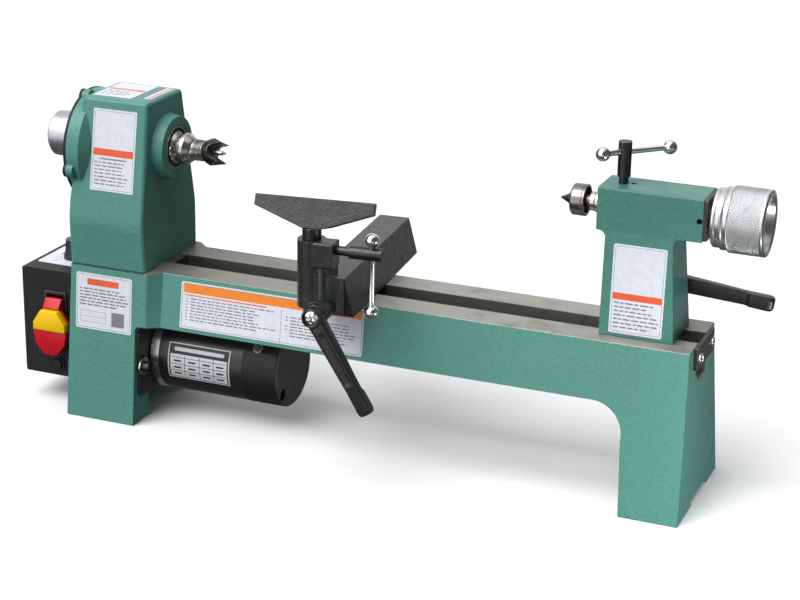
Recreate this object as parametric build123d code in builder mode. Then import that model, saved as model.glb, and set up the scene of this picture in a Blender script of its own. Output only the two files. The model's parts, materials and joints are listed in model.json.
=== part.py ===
from build123d import *
import os
from math import cos, radians, sin

# Benchtop wood lathe, in millimetres.
# +X runs from the headstock to the tailstock, +Y away from the operator, +Z up.
# The origin is on the bench, at the centre of the four bench bolt holes.

# ---- driving dimensions ------------------------------------------------------------------
running = 0.05                  # radial clearance of a running or sliding fit
gap = 0.3                       # clearance between pieces that move past each other

# bed
bed_top = 141.0                 # height of the ground ways above the bench
bed_left, bed_right = -285.0, 285.0
left_lean, right_lean = 2.5, 4.2    # how far each end leans in at the top
way_half_width = 40.5
wide_half_width = 51.0          # under the headstock
foot_half_width = 64.3
beam_bottom = 92.0
slot_half_width = 12.9
way_thickness = 16.0
wall = 6.5
left_leg_right = -216.7         # right-hand face of the headstock leg
right_leg_left = 235.0
bench_bolt_x, bench_bolt_y = 250.0, 44.0
bench_hole_radius = 4.5
lug_height = 10.0

# headstock and spindle
swing_radius = 104.0
spindle_z = bed_top + swing_radius
head_left, head_right, head_top = -285.0, -209.0, 290.5
head_half_foot, head_half_shoulder, head_half_top = 48.5, 50.0, 31.5
head_shoulder_z = 183.0
bell_z = 240.0                  # centre of the round bell at the left end
boss_face = -200.5
bearing_outer_radius, bearing_inner_radius, bearing_width = 20.0, 8.5, 12.0
front_bearing_x = boss_face - 0.2 - bearing_width
rear_bearing_x = -247.0
nose_radius, nose_end = 9.525, -172.0
taper_large, taper_small, taper_length = 6.05, 4.8, 50.0
belt_x = -259.0                 # centre plane of the drive belt
belt_width, belt_thickness = 9.0, 2.4

# motor
motor_z, motor_radius = 54.9, 36.0
motor_face, motor_end = -214.6, -87.0
motor_bolt_y, motor_bolt_z = 47.5, 52.0

# control box on the left end
box_left, box_front, box_back = -344.0, -40.0, 37.0
box_bottom, box_top, box_wall = 25.0, 126.6, 2.5
switch_x, switch_pivot_z = -307.3, 78.0
knob_x, knob_y = -309.0, -2.0

# banjo and tool rest
banjo_x, banjo_swing = -25.6, 5.1   # pivot in the bed slot, and how far the arm is swung
arm_top = 174.0
arm_half_foot, arm_half_top = 22.5, 14.2
arm_rear, arm_front = 104.0, -77.5
socket_x, socket_y, socket_radius, socket_top = -8.0, -95.0, 12.0, 212.5
post_radius = 7.94
cam_z, cam_radius = 152.0, 5.0
rest_clamp_z = 204.5
rest_yaw, rest_lean = 8.0, 25.0
rest_length, rest_top, rest_foot = 101.6, 245.4, 222.5

# sliding T bars
bar_radius, ball_radius, bar_span = 2.4, 6.0, 61.8
barrel_radius, screw_radius = 5.5, 3.9

# tailstock
tail_left, tail_right = 192.5, 279.8
tail_half_width = 20.0
column_left, column_right, column_right_top = 200.5, 263.0, 256.5
column_half_foot = 26.0
tail_block_bottom, tail_block_top = 227.9, 263.5
tail_x = 231.5                  # clamp bolt and lock shaft
tail_cam_z = 175.0
quill_radius, quill_nose, quill_end = 9.0, 186.0, 276.0
lead_screw_radius, lead_screw_tip = 5.0, 227.0
quill_lock_x = 208.0
wheel_left, wheel_right, wheel_radius = 285.5, 329.0, 27.2


# ---- shared shapes -----------------------------------------------------------------------
def turned(profile, axis_z):
    """Revolve (x, radius) points about the line along X at height axis_z."""
    with BuildSketch(Plane.XZ) as half:
        Polygon(*[(x, axis_z + r) for x, r in profile])
    revolve(half.sketch, axis=Axis((0, 0, axis_z), (1, 0, 0)))


def tube_profile(left, right, outer, inner):
    return [(left, outer), (right, outer), (right, inner), (left, inner)]


def cut_box(x0, x1, y0, y1, z0, z1):
    """Remove an upright box, given by its low and high corners."""
    with BuildSketch(Plane.XY.offset(z0)) as floor:
        with Locations(((x0 + x1) / 2, (y0 + y1) / 2)):
            Rectangle(x1 - x0, y1 - y0)
    extrude(floor.sketch, amount=z1 - z0, mode=Mode.SUBTRACT)


def add_box(x0, x1, y0, y1, z0, z1):
    """Add an upright box, given by its low and high corners."""
    with BuildSketch(Plane.XY.offset(z0)) as floor:
        with Locations(((x0 + x1) / 2, (y0 + y1) / 2)):
            Rectangle(x1 - x0, y1 - y0)
    extrude(floor.sketch, amount=z1 - z0)


def half_width(z, top_half):
    """Half width of a side that leans out from top_half at the ways to the foot."""
    return top_half + (foot_half_width - top_half) * (bed_top - z) / bed_top


def sliding_bar(start, direction):
    """A round bar with a ball on each end; start is the centre of its first ball."""
    origin = Vector(*start)
    heading = Vector(*direction).normalized()
    with BuildPart() as bar:
        with BuildSketch(Plane(origin=origin, z_dir=heading)):
            Circle(bar_radius)
        extrude(amount=bar_span)
        with Locations(origin, origin + heading * bar_span):
            Sphere(ball_radius)
    return bar.part


def clamp_lever(hub, axis, heading, reach, cant):
    """A plastic clamp lever: a hub along axis, and an arm along heading that cants outwards."""
    centre, out, along = Vector(*hub), Vector(*axis).normalized(), Vector(*heading).normalized()
    arm = along * cos(radians(cant)) + out * sin(radians(cant))
    face = out * cos(radians(cant)) - along * sin(radians(cant))
    # distance along the arm, width, depth and how far the section sits back
    sections = (
        (0.03, 15.0, 12.0, 0.0), (0.76, 11.4, 9.4, 0.0), (0.80, 11.6, 12.0, 1.3),
        (0.96, 12.2, 11.6, 1.1), (1.0, 10.0, 8.0, 1.1),
    )
    with BuildPart() as lever:
        with BuildSketch(Plane(origin=centre - out * 5.5, z_dir=out)):
            Circle(9.6)
        extrude(amount=5.5)
        with BuildSketch(Plane(origin=centre, z_dir=out)):
            Circle(8.6)
        extrude(amount=7.5, taper=3)
        for (t0, w0, d0, b0), (t1, w1, d1, b1) in zip(sections, sections[1:]):
            for t, w, d, b in ((t0, w0, d0, b0), (t1, w1, d1, b1)):
                with BuildSketch(Plane(origin=centre + arm * reach * t - face * b, x_dir=face, z_dir=arm)):
                    RectangleRounded(d, w, 2.5)
            loft()
        with BuildSketch(Plane(origin=centre - out * 9, z_dir=out)):
            Circle(cam_radius)
        extrude(amount=12.5, mode=Mode.SUBTRACT)
        with BuildSketch(Plane(origin=centre + out * 3.5, z_dir=out)):
            Circle(6.7)
        extrude(amount=14, mode=Mode.SUBTRACT)
    return lever.part


# ---- bed ---------------------------------------------------------------------------------
def bed_outline(lean_left, lean_right, wide, narrow):
    x0, x1 = bed_left + lean_left, bed_right - lean_right
    front = [(x0, -wide), (-206, -wide), (-195, -narrow), (x1, -narrow)]
    return front + [(x, -y) for x, y in reversed(front)]


with BuildPart() as bed_casting:
    with BuildSketch(Plane.XY):
        Polygon(*bed_outline(0, 0, foot_half_width, foot_half_width - 0.2))
    with BuildSketch(Plane.XY.offset(bed_top)):
        Polygon(*bed_outline(left_lean, right_lean, wide_half_width, way_half_width))
    loft(ruled=True)
    # the open arch between the two legs
    with BuildSketch(Plane.XZ):
        with BuildLine():
            Polyline((left_leg_right, -1), (left_leg_right, 89.5), (-214.5, 91.8), (205, beam_bottom))
            ThreePointArc((205, beam_bottom), (223.6, 84.0), (231, 62))
            Polyline((231, 62), (right_leg_left, -1), (left_leg_right, -1))
        make_face()
    extrude(amount=90, both=True, mode=Mode.SUBTRACT)
    # hollow of the headstock leg, open to the motor
    with BuildSketch(Plane.XY.offset(-0.01)):
        with Locations(((bed_left + wall + left_leg_right - wall) / 2, 0)):
            Rectangle(left_leg_right - bed_left - 2 * wall, 2 * (foot_half_width - wall))
    with BuildSketch(Plane.XY.offset(bed_top - 10)):
        with Locations(((bed_left + wall + left_leg_right - wall) / 2 + 1, 0)):
            Rectangle(left_leg_right - bed_left - 2 * wall - 2, 2 * (wide_half_width - wall))
    loft(ruled=True, mode=Mode.SUBTRACT)
    cut_box(left_leg_right - wall - 1, left_leg_right + 1, -35, 35, -1, beam_bottom)
    # hollow of the beam, under the ways
    with BuildSketch(Plane.XY.offset(beam_bottom - 1)):
        with Locations((15, 0)):
            Rectangle(442, 2 * (half_width(beam_bottom, way_half_width) - 8))
    with BuildSketch(Plane.XY.offset(bed_top - way_thickness)):
        with Locations((15, 0)):
            Rectangle(442, 2 * (half_width(bed_top - way_thickness, way_half_width) - 8))
    loft(ruled=True, mode=Mode.SUBTRACT)
    # hollow of the tailstock leg, open towards the arch
    with BuildSketch(Plane.XY.offset(-0.01)):
        with Locations((252, 0)):
            Rectangle(50, 2 * (foot_half_width - wall))
    with BuildSketch(Plane.XY.offset(bed_top - way_thickness)):
        with Locations((249.5, 0)):
            Rectangle(45, 2 * (half_width(bed_top - way_thickness, way_half_width) - wall))
    loft(ruled=True, mode=Mode.SUBTRACT)
    # slot between the ways, its wider outlet in the right end, and the foot notch
    cut_box(-200, 290, -slot_half_width, slot_half_width, 110, 145)
    cut_box(262, 290, -18, 18, 114, bed_top - way_thickness)
    cut_box(270, 290, -21, 31, -1, 5)
    # belt opening and headstock bolt holes in the top plate
    cut_box(-273, -248, -26, 26, 125, 145)
    with BuildSketch(Plane.XY.offset(125)):
        with Locations((-237, 36), (-237, -36), (-264, 36), (-264, -36)):
            Circle(4.3)
    extrude(amount=20, mode=Mode.SUBTRACT)
    # cross ribs under the clamp plates' path
    for rib_x in (-150, -30, 90):
        add_box(rib_x - 4, rib_x + 4, -41.5, 41.5, beam_bottom + 0.2, 101)
    # bench lugs
    for x0, x1 in ((bed_left + wall, left_leg_right - wall), (right_leg_left + 2, 277.5)):
        for side in (-1, 1):
            y0, y1 = sorted((side * 30, side * 59))
            add_box(x0, x1, y0, y1, 0, lug_height)
    with BuildSketch(Plane.XY.offset(-1)):
        with GridLocations(2 * bench_bolt_x, 2 * bench_bolt_y, 2, 2):
            Circle(bench_hole_radius)
    extrude(amount=lug_height + 2, mode=Mode.SUBTRACT)
    # holes for the motor bolts, the wiring and the end plate screws
    with BuildSketch(Plane.YZ.offset(left_leg_right - wall - 1)):
        with Locations((motor_bolt_y, motor_bolt_z), (-motor_bolt_y, motor_bolt_z)):
            Circle(4.2)
    extrude(amount=wall + 2, mode=Mode.SUBTRACT)
    with BuildSketch(Plane.YZ.offset(bed_left - 1)):
        with Locations((0, 80)):
            Circle(8)
    extrude(amount=wall + 4, mode=Mode.SUBTRACT)
    with BuildSketch(Plane.YZ.offset(264)):
        with Locations((-20.5, 131), (20.5, 131)):
            Circle(2.1)
    extrude(amount=20, mode=Mode.SUBTRACT)
    # softened corners where the wide end runs into the beam
    flare = bed_casting.edges().filter_by(
        lambda e: abs(e.center().Z - 116) < 30 and -208 < e.center().X < -193
    )
    fillet(flare.filter_by(lambda e: abs(e.tangent_at(0.5).Z) > 0.9 and e.center().X < -200), radius=4)

end_plate_x = bed_right - right_lean * 126 / bed_top + gap
with BuildPart() as bed_end_plate:
    with BuildSketch(Plane.YZ.offset(end_plate_x)):
        with Locations((0, 131.8)):
            RectangleRounded(54, 20, 1.5)
        with Locations((-20.5, 131), (20.5, 131)):
            Circle(2.1, mode=Mode.SUBTRACT)
    extrude(amount=3)

with BuildPart() as bed_end_screws:
    with BuildSketch(Plane.YZ.offset(end_plate_x - 12)):
        with Locations((-20.5, 131), (20.5, 131)):
            Circle(2.0)
    extrude(amount=15)
    with BuildSketch(Plane.YZ.offset(end_plate_x + 3)):
        with Locations((-20.5, 131), (20.5, 131)):
            Circle(4.5)
    extrude(amount=2.6, taper=20)


# ---- headstock ---------------------------------------------------------------------------
def head_section(inset, bottom, top):
    """The headstock's cross-section, drawn inset from its outer sides."""
    return [
        (-head_half_foot + inset, bottom),
        (-head_half_shoulder + inset, head_shoulder_z),
        (-head_half_top + inset, top),
        (head_half_top - inset, top),
        (head_half_shoulder - inset, head_shoulder_z),
        (head_half_foot - inset, bottom),
    ]


ear_ring, ear_radius = 47.5, 6.5
ears = [(ear_ring * cos(radians(a)), bell_z + ear_ring * sin(radians(a))) for a in (17, 107, 197, 287)]
bell_radius, bell_length = 50.0, 12.5
ear_length = 7.0
foot_right, end_lean = -208.8, 8.5
head_bolts = [(-237, 36), (-237, -36), (-264, 36), (-264, -36)]

with BuildPart() as headstock_casting:
    with BuildSketch(Plane.YZ.offset(head_left)) as head_shape:
        Polygon(*head_section(0, bed_top, head_top))
        fillet(head_shape.vertices().filter_by(lambda v: abs(v.Y - head_shoulder_z) < 1), radius=60)
    extrude(amount=foot_right - head_left)
    # both ends lean inwards
    with BuildSketch(Plane.XZ):
        Polygon((-290, 200), (head_left, 200), (head_left + end_lean, head_top), (-290, head_top))
        Polygon((-200, bed_top), (foot_right, bed_top), (foot_right - 2.6, head_top), (-200, head_top))
    extrude(amount=60, both=True, mode=Mode.SUBTRACT)
    fillet(headstock_casting.faces().sort_by(Axis.Z)[-1].edges().filter_by(Axis.X), radius=4)
    for end in (0, -1):
        side = headstock_casting.faces().sort_by(Axis.X)[end]
        fillet(side.edges().filter_by(lambda e: e.center().Z > bed_top + 5), radius=3.5)
    # spindle boss
    with BuildSketch(Plane.YZ.offset(head_right - 4)):
        with Locations((0, spindle_z)):
            Circle(30.2)
    extrude(amount=boss_face - head_right + 4, taper=11)
    # round bell around the pulley, with four screw ears
    turned([
        (head_left, 0), (head_left, bell_radius), (head_left + bell_length, bell_radius),
        (head_left + bell_length + 7, bell_radius - 9.5), (head_left + bell_length + 7, 0),
    ], bell_z)
    with BuildSketch(Plane.YZ.offset(head_left)):
        with Locations(*ears):
            Circle(ear_radius)
    extrude(amount=ear_length)
    # pulley chamber, open at the left end and down into the bed
    with BuildSketch(Plane.YZ.offset(-273)):
        Polygon(*head_section(6.5, bed_top - 1, head_top - 7))
    extrude(amount=273 + rear_bearing_x, mode=Mode.SUBTRACT)
    with BuildSketch(Plane.YZ.offset(-279)):
        with Locations((0, bell_z)):
            Circle(43)
    extrude(amount=8, mode=Mode.SUBTRACT)
    with BuildSketch(Plane.YZ.offset(head_left - 1)):
        with Locations((0, bell_z)):
            Circle(36)
    extrude(amount=14, mode=Mode.SUBTRACT)
    # base flange of the chamber, with the belt opening
    add_box(-279, -245, -44, 44, bed_top, bed_top + 9)
    cut_box(-273, -248, -26, 26, bed_top - 1, bed_top + 10)
    # chamber between the two bearings, open at the bottom
    with BuildSketch(Plane.YZ.offset(rear_bearing_x + bearing_width + 2)):
        inner = head_section(6.5, bed_top + 9, 214)
        Polygon(*inner[:2], (-40, 214), (40, 214), *inner[4:])
    extrude(amount=16, mode=Mode.SUBTRACT)
    # bearing seats and the spindle tunnel
    with BuildSketch(Plane.YZ.offset(rear_bearing_x - 1)):
        with Locations((0, spindle_z)):
            Circle(bearing_outer_radius)
    extrude(amount=bearing_width + 1, mode=Mode.SUBTRACT)
    with BuildSketch(Plane.YZ.offset(front_bearing_x)):
        with Locations((0, spindle_z)):
            Circle(bearing_outer_radius)
    extrude(amount=bearing_width + 2, mode=Mode.SUBTRACT)
    with BuildSketch(Plane.YZ.offset(rear_bearing_x)):
        with Locations((0, spindle_z)):
            Circle(14)
    extrude(amount=40, mode=Mode.SUBTRACT)
    # tapped holes for the bolts from below and for the cover screws
    with BuildSketch(Plane.XY.offset(bed_top - 1)):
        with Locations(*head_bolts):
            Circle(4.05)
    extrude(amount=16, mode=Mode.SUBTRACT)
    with BuildSketch(Plane.YZ.offset(head_left - 1)):
        with Locations(*ears):
            Circle(2.05)
    extrude(amount=8, mode=Mode.SUBTRACT)

with BuildPart() as headstock_bolts:
    with BuildSketch(Plane.XY.offset(bed_top - 10)):
        with Locations(*head_bolts):
            Circle(4)
    extrude(amount=20)
    with BuildSketch(Plane.XY.offset(bed_top - 16)):
        with Locations(*head_bolts):
            RegularPolygon(6.5, 6)
    extrude(amount=6)

cover_thickness = 2.2
cover_x = head_left - cover_thickness
with BuildPart() as spindle_cover:
    with BuildSketch(Plane.YZ.offset(cover_x)):
        with Locations((0, bell_z)):
            Circle(bell_radius + 0.4)
        with Locations(*ears):
            Circle(ear_radius + 0.4)
        with Locations(*ears):
            Circle(2.2, mode=Mode.SUBTRACT)
        with Locations((0, spindle_z)):
            Circle(15, mode=Mode.SUBTRACT)
    extrude(amount=cover_thickness)

with BuildPart() as cover_screws:
    with BuildSketch(Plane.YZ.offset(cover_x)):
        with Locations(*ears):
            Circle(2)
    extrude(amount=8)
    with BuildSketch(Plane.YZ.offset(cover_x)):
        with Locations(*ears):
            Circle(3.6)
    extrude(amount=-2, taper=15)

# ---- bearings ----------------------------------------------------------------------------
ring_inner, ring_outer = 11.5, 17.2
bearing_starts = (rear_bearing_x, front_bearing_x)

with BuildPart() as bearing_outer_rings:
    for x in bearing_starts:
        turned(tube_profile(x, x + bearing_width, bearing_outer_radius, ring_outer), spindle_z)

with BuildPart() as bearing_seals:
    for x in bearing_starts:
        turned(tube_profile(x + 0.4, x + bearing_width - 0.4, ring_outer, ring_inner + gap), spindle_z)

with BuildPart() as bearing_inner_rings:
    for x in bearing_starts:
        turned(tube_profile(x, x + bearing_width, ring_inner, bearing_inner_radius), spindle_z)

# ---- spindle -----------------------------------------------------------------------------
spindle_end = -318.5
collar_end = -191.5

with BuildPart() as spindle:
    turned([
        (spindle_end, 7.5), (-289, 7.5), (-289, bearing_inner_radius),
        (front_bearing_x + bearing_width, bearing_inner_radius), (front_bearing_x + bearing_width, 14.5),
        (collar_end, 14.5), (collar_end + 2, 12), (collar_end + 3, 8.6), (collar_end + 4.5, 8.6),
        (collar_end + 5, nose_radius), (nose_end - 0.8, nose_radius), (nose_end, nose_radius - 0.8),
        (nose_end, taper_large), (nose_end - taper_length, taper_small), (spindle_end, taper_small),
    ], spindle_z)
    with BuildSketch(Plane.XY.offset(spindle_z + 9)):
        with Locations((collar_end - 4.2, 0)):
            Circle(2.6)
    extrude(amount=8, mode=Mode.SUBTRACT)
    for tilt in (90, 180, 270):
        hole_plane = Plane(
            origin=(collar_end - 4.2, -9 * sin(radians(tilt)), spindle_z + 9 * cos(radians(tilt))),
            z_dir=(0, -sin(radians(tilt)), cos(radians(tilt))),
        )
        with BuildSketch(hole_plane):
            Circle(2.6)
        extrude(amount=8, mode=Mode.SUBTRACT)

with BuildPart() as spindle_pulley:
    left, right = belt_x - belt_width / 2 - 2.5, belt_x + belt_width / 2 + 2.5
    turned([
        (left, 22.5), (left + 2, 22.5), (left + 2, 20), (right - 2, 20), (right - 2, 22.5), (right, 22.5),
        (right, bearing_inner_radius), (left, bearing_inner_radius),
    ], spindle_z)

with BuildPart() as outboard_handwheel:
    turned([
        (-322.7, 14), (-322.7, 18.4), (-320.7, 20.4), (-293, 20.9), (-291.5, 19.5), (-291.5, 12),
        (-289, 12), (-289, 7.5), (spindle_end + 2, 7.5), (spindle_end + 2, 14),
    ], spindle_z)

with BuildPart() as spur_centre:
    turned([
        (nose_end + 0.2, 11.4), (nose_end + 1.4, 12.5), (-162.5, 12.5), (-161.5, 11.5), (-161.5, 2.3),
        (-169, 2.3), (-169, 0), (-222, 0), (-222, taper_small), (nose_end + 0.2, taper_large - 0.02),
    ], spindle_z)
    with BuildSketch(Plane.YZ.offset(-161.6)):
        with Locations((0, spindle_z)):
            with PolarLocations(7.8, 4):
                Rectangle(7.6, 4.2)
    extrude(amount=5.4, taper=17)

with BuildPart() as spur_point:
    turned([(-169, 0), (-169, 2.25), (-156, 2.25), (-151.4, 0.1), (-151.4, 0)], spindle_z)

# ---- belt and motor ----------------------------------------------------------------------
belt_inner_spindle, belt_inner_motor = 20.3, 14.1

with BuildPart() as drive_belt:
    for extra, mode in ((belt_thickness, Mode.ADD), (0, Mode.SUBTRACT)):
        with BuildSketch(Plane.YZ.offset(belt_x - belt_width / 2)):
            with Locations((0, spindle_z)):
                Circle(belt_inner_spindle + extra)
            with Locations((0, motor_z)):
                Circle(belt_inner_motor + extra)
            make_hull()
        extrude(amount=belt_width, mode=mode)

with BuildPart() as motor_pulley:
    turned([
        (left, 16), (left + 2, 16), (left + 2, 13.8), (right - 2, 13.8), (right - 2, 16), (right, 16),
        (right, 5), (left, 5),
    ], motor_z)

with BuildPart() as motor_rotor:
    turned([
        (left - 2, 0), (left - 2, 5), (-190, 5), (-190, 24), (-130, 24), (-130, 5), (-100, 5), (-100, 0),
    ], motor_z)

with BuildPart() as motor_flange:
    turned([
        (motor_face, 5 + running), (motor_face, 32), (motor_face + 1.5, motor_radius), (-205, motor_radius),
        (-205, 5 + running),
    ], motor_z)

with BuildPart() as motor_can:
    turned(tube_profile(-205, -122, motor_radius, 32.5), motor_z)

with BuildPart() as motor_end_bell:
    turned([
        (-122, motor_radius + 0.2), (motor_end - 2, motor_radius + 0.2), (motor_end, motor_radius - 1.8),
        (motor_end, 0), (-98, 0), (-98, 5 + running), (-108, 5 + running), (-108, 12), (-92, 12),
        (-92, 33), (-122, 33),
    ], motor_z)
    with BuildSketch(Plane.XY.offset(motor_z + motor_radius - 4)):
        with Locations((-107, -8)):
            SlotOverall(26, 13)
    extrude(amount=10, mode=Mode.SUBTRACT)
    with BuildSketch(Plane.YZ.offset(motor_end - 10)):
        with Locations((-22.6, motor_z - 18.6), (22.6, motor_z + 18.6)):
            Circle(5.5)
    extrude(amount=12, mode=Mode.SUBTRACT)

with BuildPart() as motor_bracket:
    with BuildSketch(Plane.YZ.offset(left_leg_right + 0.1)):
        with Locations((0, motor_z)):
            RectangleRounded(108, 62, 6)
            Circle(14, mode=Mode.SUBTRACT)
        with Locations((-motor_bolt_y, motor_bolt_z), (motor_bolt_y, motor_bolt_z)):
            SlotOverall(18, 8.6, rotation=90, mode=Mode.SUBTRACT)
    extrude(amount=motor_face - left_leg_right - 0.1)

with BuildPart() as motor_bolts:
    bolt_places = ((-motor_bolt_y, motor_bolt_z), (motor_bolt_y, motor_bolt_z))
    with BuildSketch(Plane.YZ.offset(left_leg_right - wall - 3)):
        with Locations(*bolt_places):
            Circle(4)
    extrude(amount=motor_face - left_leg_right + wall + 4.6)
    with BuildSketch(Plane.YZ.offset(motor_face + 1.6)):
        with Locations(*bolt_places):
            Circle(5)
    extrude(amount=6)

with BuildPart() as motor_washers:
    with BuildSketch(Plane.YZ.offset(motor_face)):
        with Locations((-motor_bolt_y, motor_bolt_z), (motor_bolt_y, motor_bolt_z)):
            Circle(8)
            Circle(4, mode=Mode.SUBTRACT)
    extrude(amount=1.6)

# ---- control box -------------------------------------------------------------------------
bezel_half_width, bezel_bottom, bezel_top = 12.0, 55.0, 107.0
button_x, button_z = -307.5, 36.5


def box_side(inset):
    """Front view of the control box; its right side follows the lean of the bed's end."""
    lean = left_lean / bed_top
    right_bottom = bed_left + lean * (box_bottom + inset) - 0.2
    right_top = bed_left + lean * (box_top - inset) - 0.2
    return [
        (box_left + inset, box_bottom + inset), (box_left + inset, box_top - inset),
        (right_top + (1 if inset else 0), box_top - inset),
        (right_bottom + (1 if inset else 0), box_bottom + inset),
    ]


with BuildPart() as control_box:
    with BuildSketch(Plane.XZ.offset(-box_back)):
        Polygon(*box_side(0))
    extrude(amount=box_back - box_front)
    outer = control_box.edges().filter_by(lambda e: e.center().X < box_left + 30)
    fillet(outer.filter_by(Axis.Z) + outer.filter_by(Axis.Y), radius=4)
    with BuildSketch(Plane.XZ.offset(-box_back + box_wall)):
        Polygon(*box_side(box_wall))
    extrude(amount=box_back - box_front - 2 * box_wall, mode=Mode.SUBTRACT)
    # openings for the switch, reset button, speed control and power inlet
    with BuildSketch(Plane.XZ.offset(-box_front - box_wall - 1)):
        with Locations((switch_x, (bezel_bottom + bezel_top) / 2)):
            Rectangle(2 * bezel_half_width - 3, bezel_top - bezel_bottom - 3)
        with Locations((button_x, button_z)):
            Circle(5.0)
    extrude(amount=box_wall + 2, mode=Mode.SUBTRACT)
    with BuildSketch(Plane.XY.offset(box_top - box_wall - 1)):
        with Locations((knob_x, knob_y)):
            Circle(4.2)
    extrude(amount=box_wall + 2, mode=Mode.SUBTRACT)
    with BuildSketch(Plane.XZ.offset(-box_back - 1)):
        with Locations((-312, 55)):
            Rectangle(27.4, 20)
    extrude(amount=box_wall + 2, mode=Mode.SUBTRACT)

    # raised ring around the reset button
    with BuildSketch(Plane.XZ.offset(-box_front)):
        with Locations((button_x, button_z)):
            Circle(7)
            Circle(5, mode=Mode.SUBTRACT)
    extrude(amount=1.4)

with BuildPart() as speed_scale:
    with BuildSketch(Plane.XY.offset(box_top)):
        with Locations((-312.5, 0.5)):
            RectangleRounded(47, 48, 2)
        with Locations((knob_x, knob_y)):
            Circle(4.2, mode=Mode.SUBTRACT)
    extrude(amount=0.6)

with BuildPart() as speed_knob:
    with BuildSketch(Plane.XY.offset(box_top + 1.2)):
        with Locations((knob_x, knob_y)):
            Circle(10.5)
    extrude(amount=4)
    with BuildSketch(Plane.XY.offset(box_top + 5.2)):
        with Locations((knob_x, knob_y)):
            Circle(9)
    extrude(amount=14, taper=4)
    with BuildSketch(Plane.XY.offset(box_top + 1)):
        with Locations((knob_x, knob_y)):
            Circle(3.05)
    extrude(amount=12, mode=Mode.SUBTRACT)

with BuildPart() as speed_control:
    with BuildSketch(Plane.XY.offset(box_top - box_wall - 9)):
        with Locations((knob_x, knob_y)):
            Circle(11)
    extrude(amount=9)
    with BuildSketch(Plane.XY.offset(box_top - box_wall)):
        with Locations((knob_x, knob_y)):
            Circle(3)
    extrude(amount=box_wall + 12)

with BuildPart() as switch_housing:
    middle = (bezel_bottom + bezel_top) / 2
    with BuildSketch(Plane.XZ.offset(-box_front)):
        with Locations((switch_x, middle)):
            RectangleRounded(2 * bezel_half_width, bezel_top - bezel_bottom, 2)
    extrude(amount=1.6)
    with BuildSketch(Plane.XZ.offset(-box_front - 22)):
        with Locations((switch_x, middle)):
            Rectangle(2 * bezel_half_width - 4, bezel_top - bezel_bottom - 4)
    extrude(amount=22.5)
    with BuildSketch(Plane.XZ.offset(-box_front - 14)):
        with Locations((switch_x, middle)):
            Rectangle(2 * bezel_half_width - 7, bezel_top - bezel_bottom - 7)
    extrude(amount=20, mode=Mode.SUBTRACT)

toggle_front = [
    (-8.6, 92), (-16.5, 80), (-16.8, 71), (-15, 60), (-6.4, 49.5),
    (6.4, 49.5), (15, 60), (16.8, 71), (16.5, 80), (8.6, 92),
]
key_bottom, key_top = 72.5, 93.2
key_middle = (key_bottom + key_top) / 2

with BuildPart() as switch_toggle:
    with BuildSketch(Plane.XZ.offset(-box_front + 4.5)):
        Polygon(*[(switch_x + x, z) for x, z in toggle_front])
    extrude(amount=9)
    # the neck slopes from the bezel out to the paddle
    with BuildSketch(Plane.YZ.offset(switch_x - 8.2)):
        Polygon((-30, 70), (-46, 62), (-53.5, 80), (-51, 92), (-44.5, 101.5), (-38, 100), (-30, 86))
    extrude(amount=16.4)
    # pocket for the key, and the slanted back of the paddle's lower end
    with BuildSketch(Plane.XZ.offset(-box_front + 7)):
        with Locations((switch_x, key_middle)):
            Rectangle(40, key_top - key_bottom)
    extrude(amount=10, mode=Mode.SUBTRACT)
    with BuildSketch(Plane.YZ.offset(switch_x - 20)):
        Polygon((-44, 64), (-44, 45), (-48, 45))
    extrude(amount=40, mode=Mode.SUBTRACT)
    with BuildSketch(Plane.XZ.offset(-box_front + 1)):
        with Locations((switch_x - 4.5, key_middle), (switch_x + 4.5, key_middle)):
            Rectangle(3.4, 8.4)
    extrude(amount=8, mode=Mode.SUBTRACT)

with BuildPart() as switch_key:
    inset = 0.2
    with BuildSketch(Plane.XZ.offset(-box_front + 7 + inset)) as key_shape:
        Polygon(*[(switch_x + x, z) for x, z in toggle_front])
        with Locations((switch_x, key_middle)):
            Rectangle(40, key_top - key_bottom - 2 * inset, mode=Mode.INTERSECT)
    extrude(amount=7.5)
    with BuildSketch(Plane.XZ.offset(-box_front + 1.4)):
        with Locations((switch_x - 4.5, key_middle), (switch_x + 4.5, key_middle)):
            Rectangle(3, 8)
    extrude(amount=6)

with BuildPart() as reset_button:
    with BuildSketch(Plane.XZ.offset(-box_front - 8)):
        with Locations((button_x, button_z)):
            Circle(4.4)
    extrude(amount=11)

with BuildPart() as power_inlet:
    with BuildSketch(Plane.XZ.offset(-box_back - 1.5)):
        with Locations((-312, 55)):
            RectangleRounded(34, 27, 3)
    extrude(amount=1.5)
    with BuildSketch(Plane.XZ.offset(-box_back)):
        with Locations((-312, 55)):
            Rectangle(27, 19.6)
    extrude(amount=20)
    with BuildSketch(Plane.XZ.offset(-box_back - 2)):
        with Locations((-312, 55)):
            RectangleRounded(23.5, 16, 3)
    extrude(amount=17, mode=Mode.SUBTRACT)
    with BuildSketch(Plane.XZ.offset(-box_back + 15.5)):
        with Locations((-319, 54), (-312, 57), (-305, 54)):
            Rectangle(2, 4)
    extrude(amount=-13)

with BuildPart() as motor_controller:
    with BuildSketch(Plane.YZ.offset(box_left + 6)):
        with Locations((2, 94)):
            Rectangle(56, 38)
    extrude(amount=1.6)
    with BuildSketch(Plane.YZ.offset(box_left + 7.6)):
        with Locations((-14, 94), (2, 102), (2, 86), (18, 94)):
            Rectangle(9, 12)
    extrude(amount=7)


# ---- banjo -------------------------------------------------------------------------------
banjo_right = Vector(cos(radians(banjo_swing)), sin(radians(banjo_swing)), 0)
banjo_back = Vector(-sin(radians(banjo_swing)), cos(radians(banjo_swing)), 0)
banjo_origin = Vector(banjo_x, 0, 0)


def banjo_point(x, y, z):
    """A point given in the banjo's own frame, whose arm runs along its Y."""
    return banjo_origin + banjo_right * x + banjo_back * y + Vector(0, 0, z)


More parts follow.
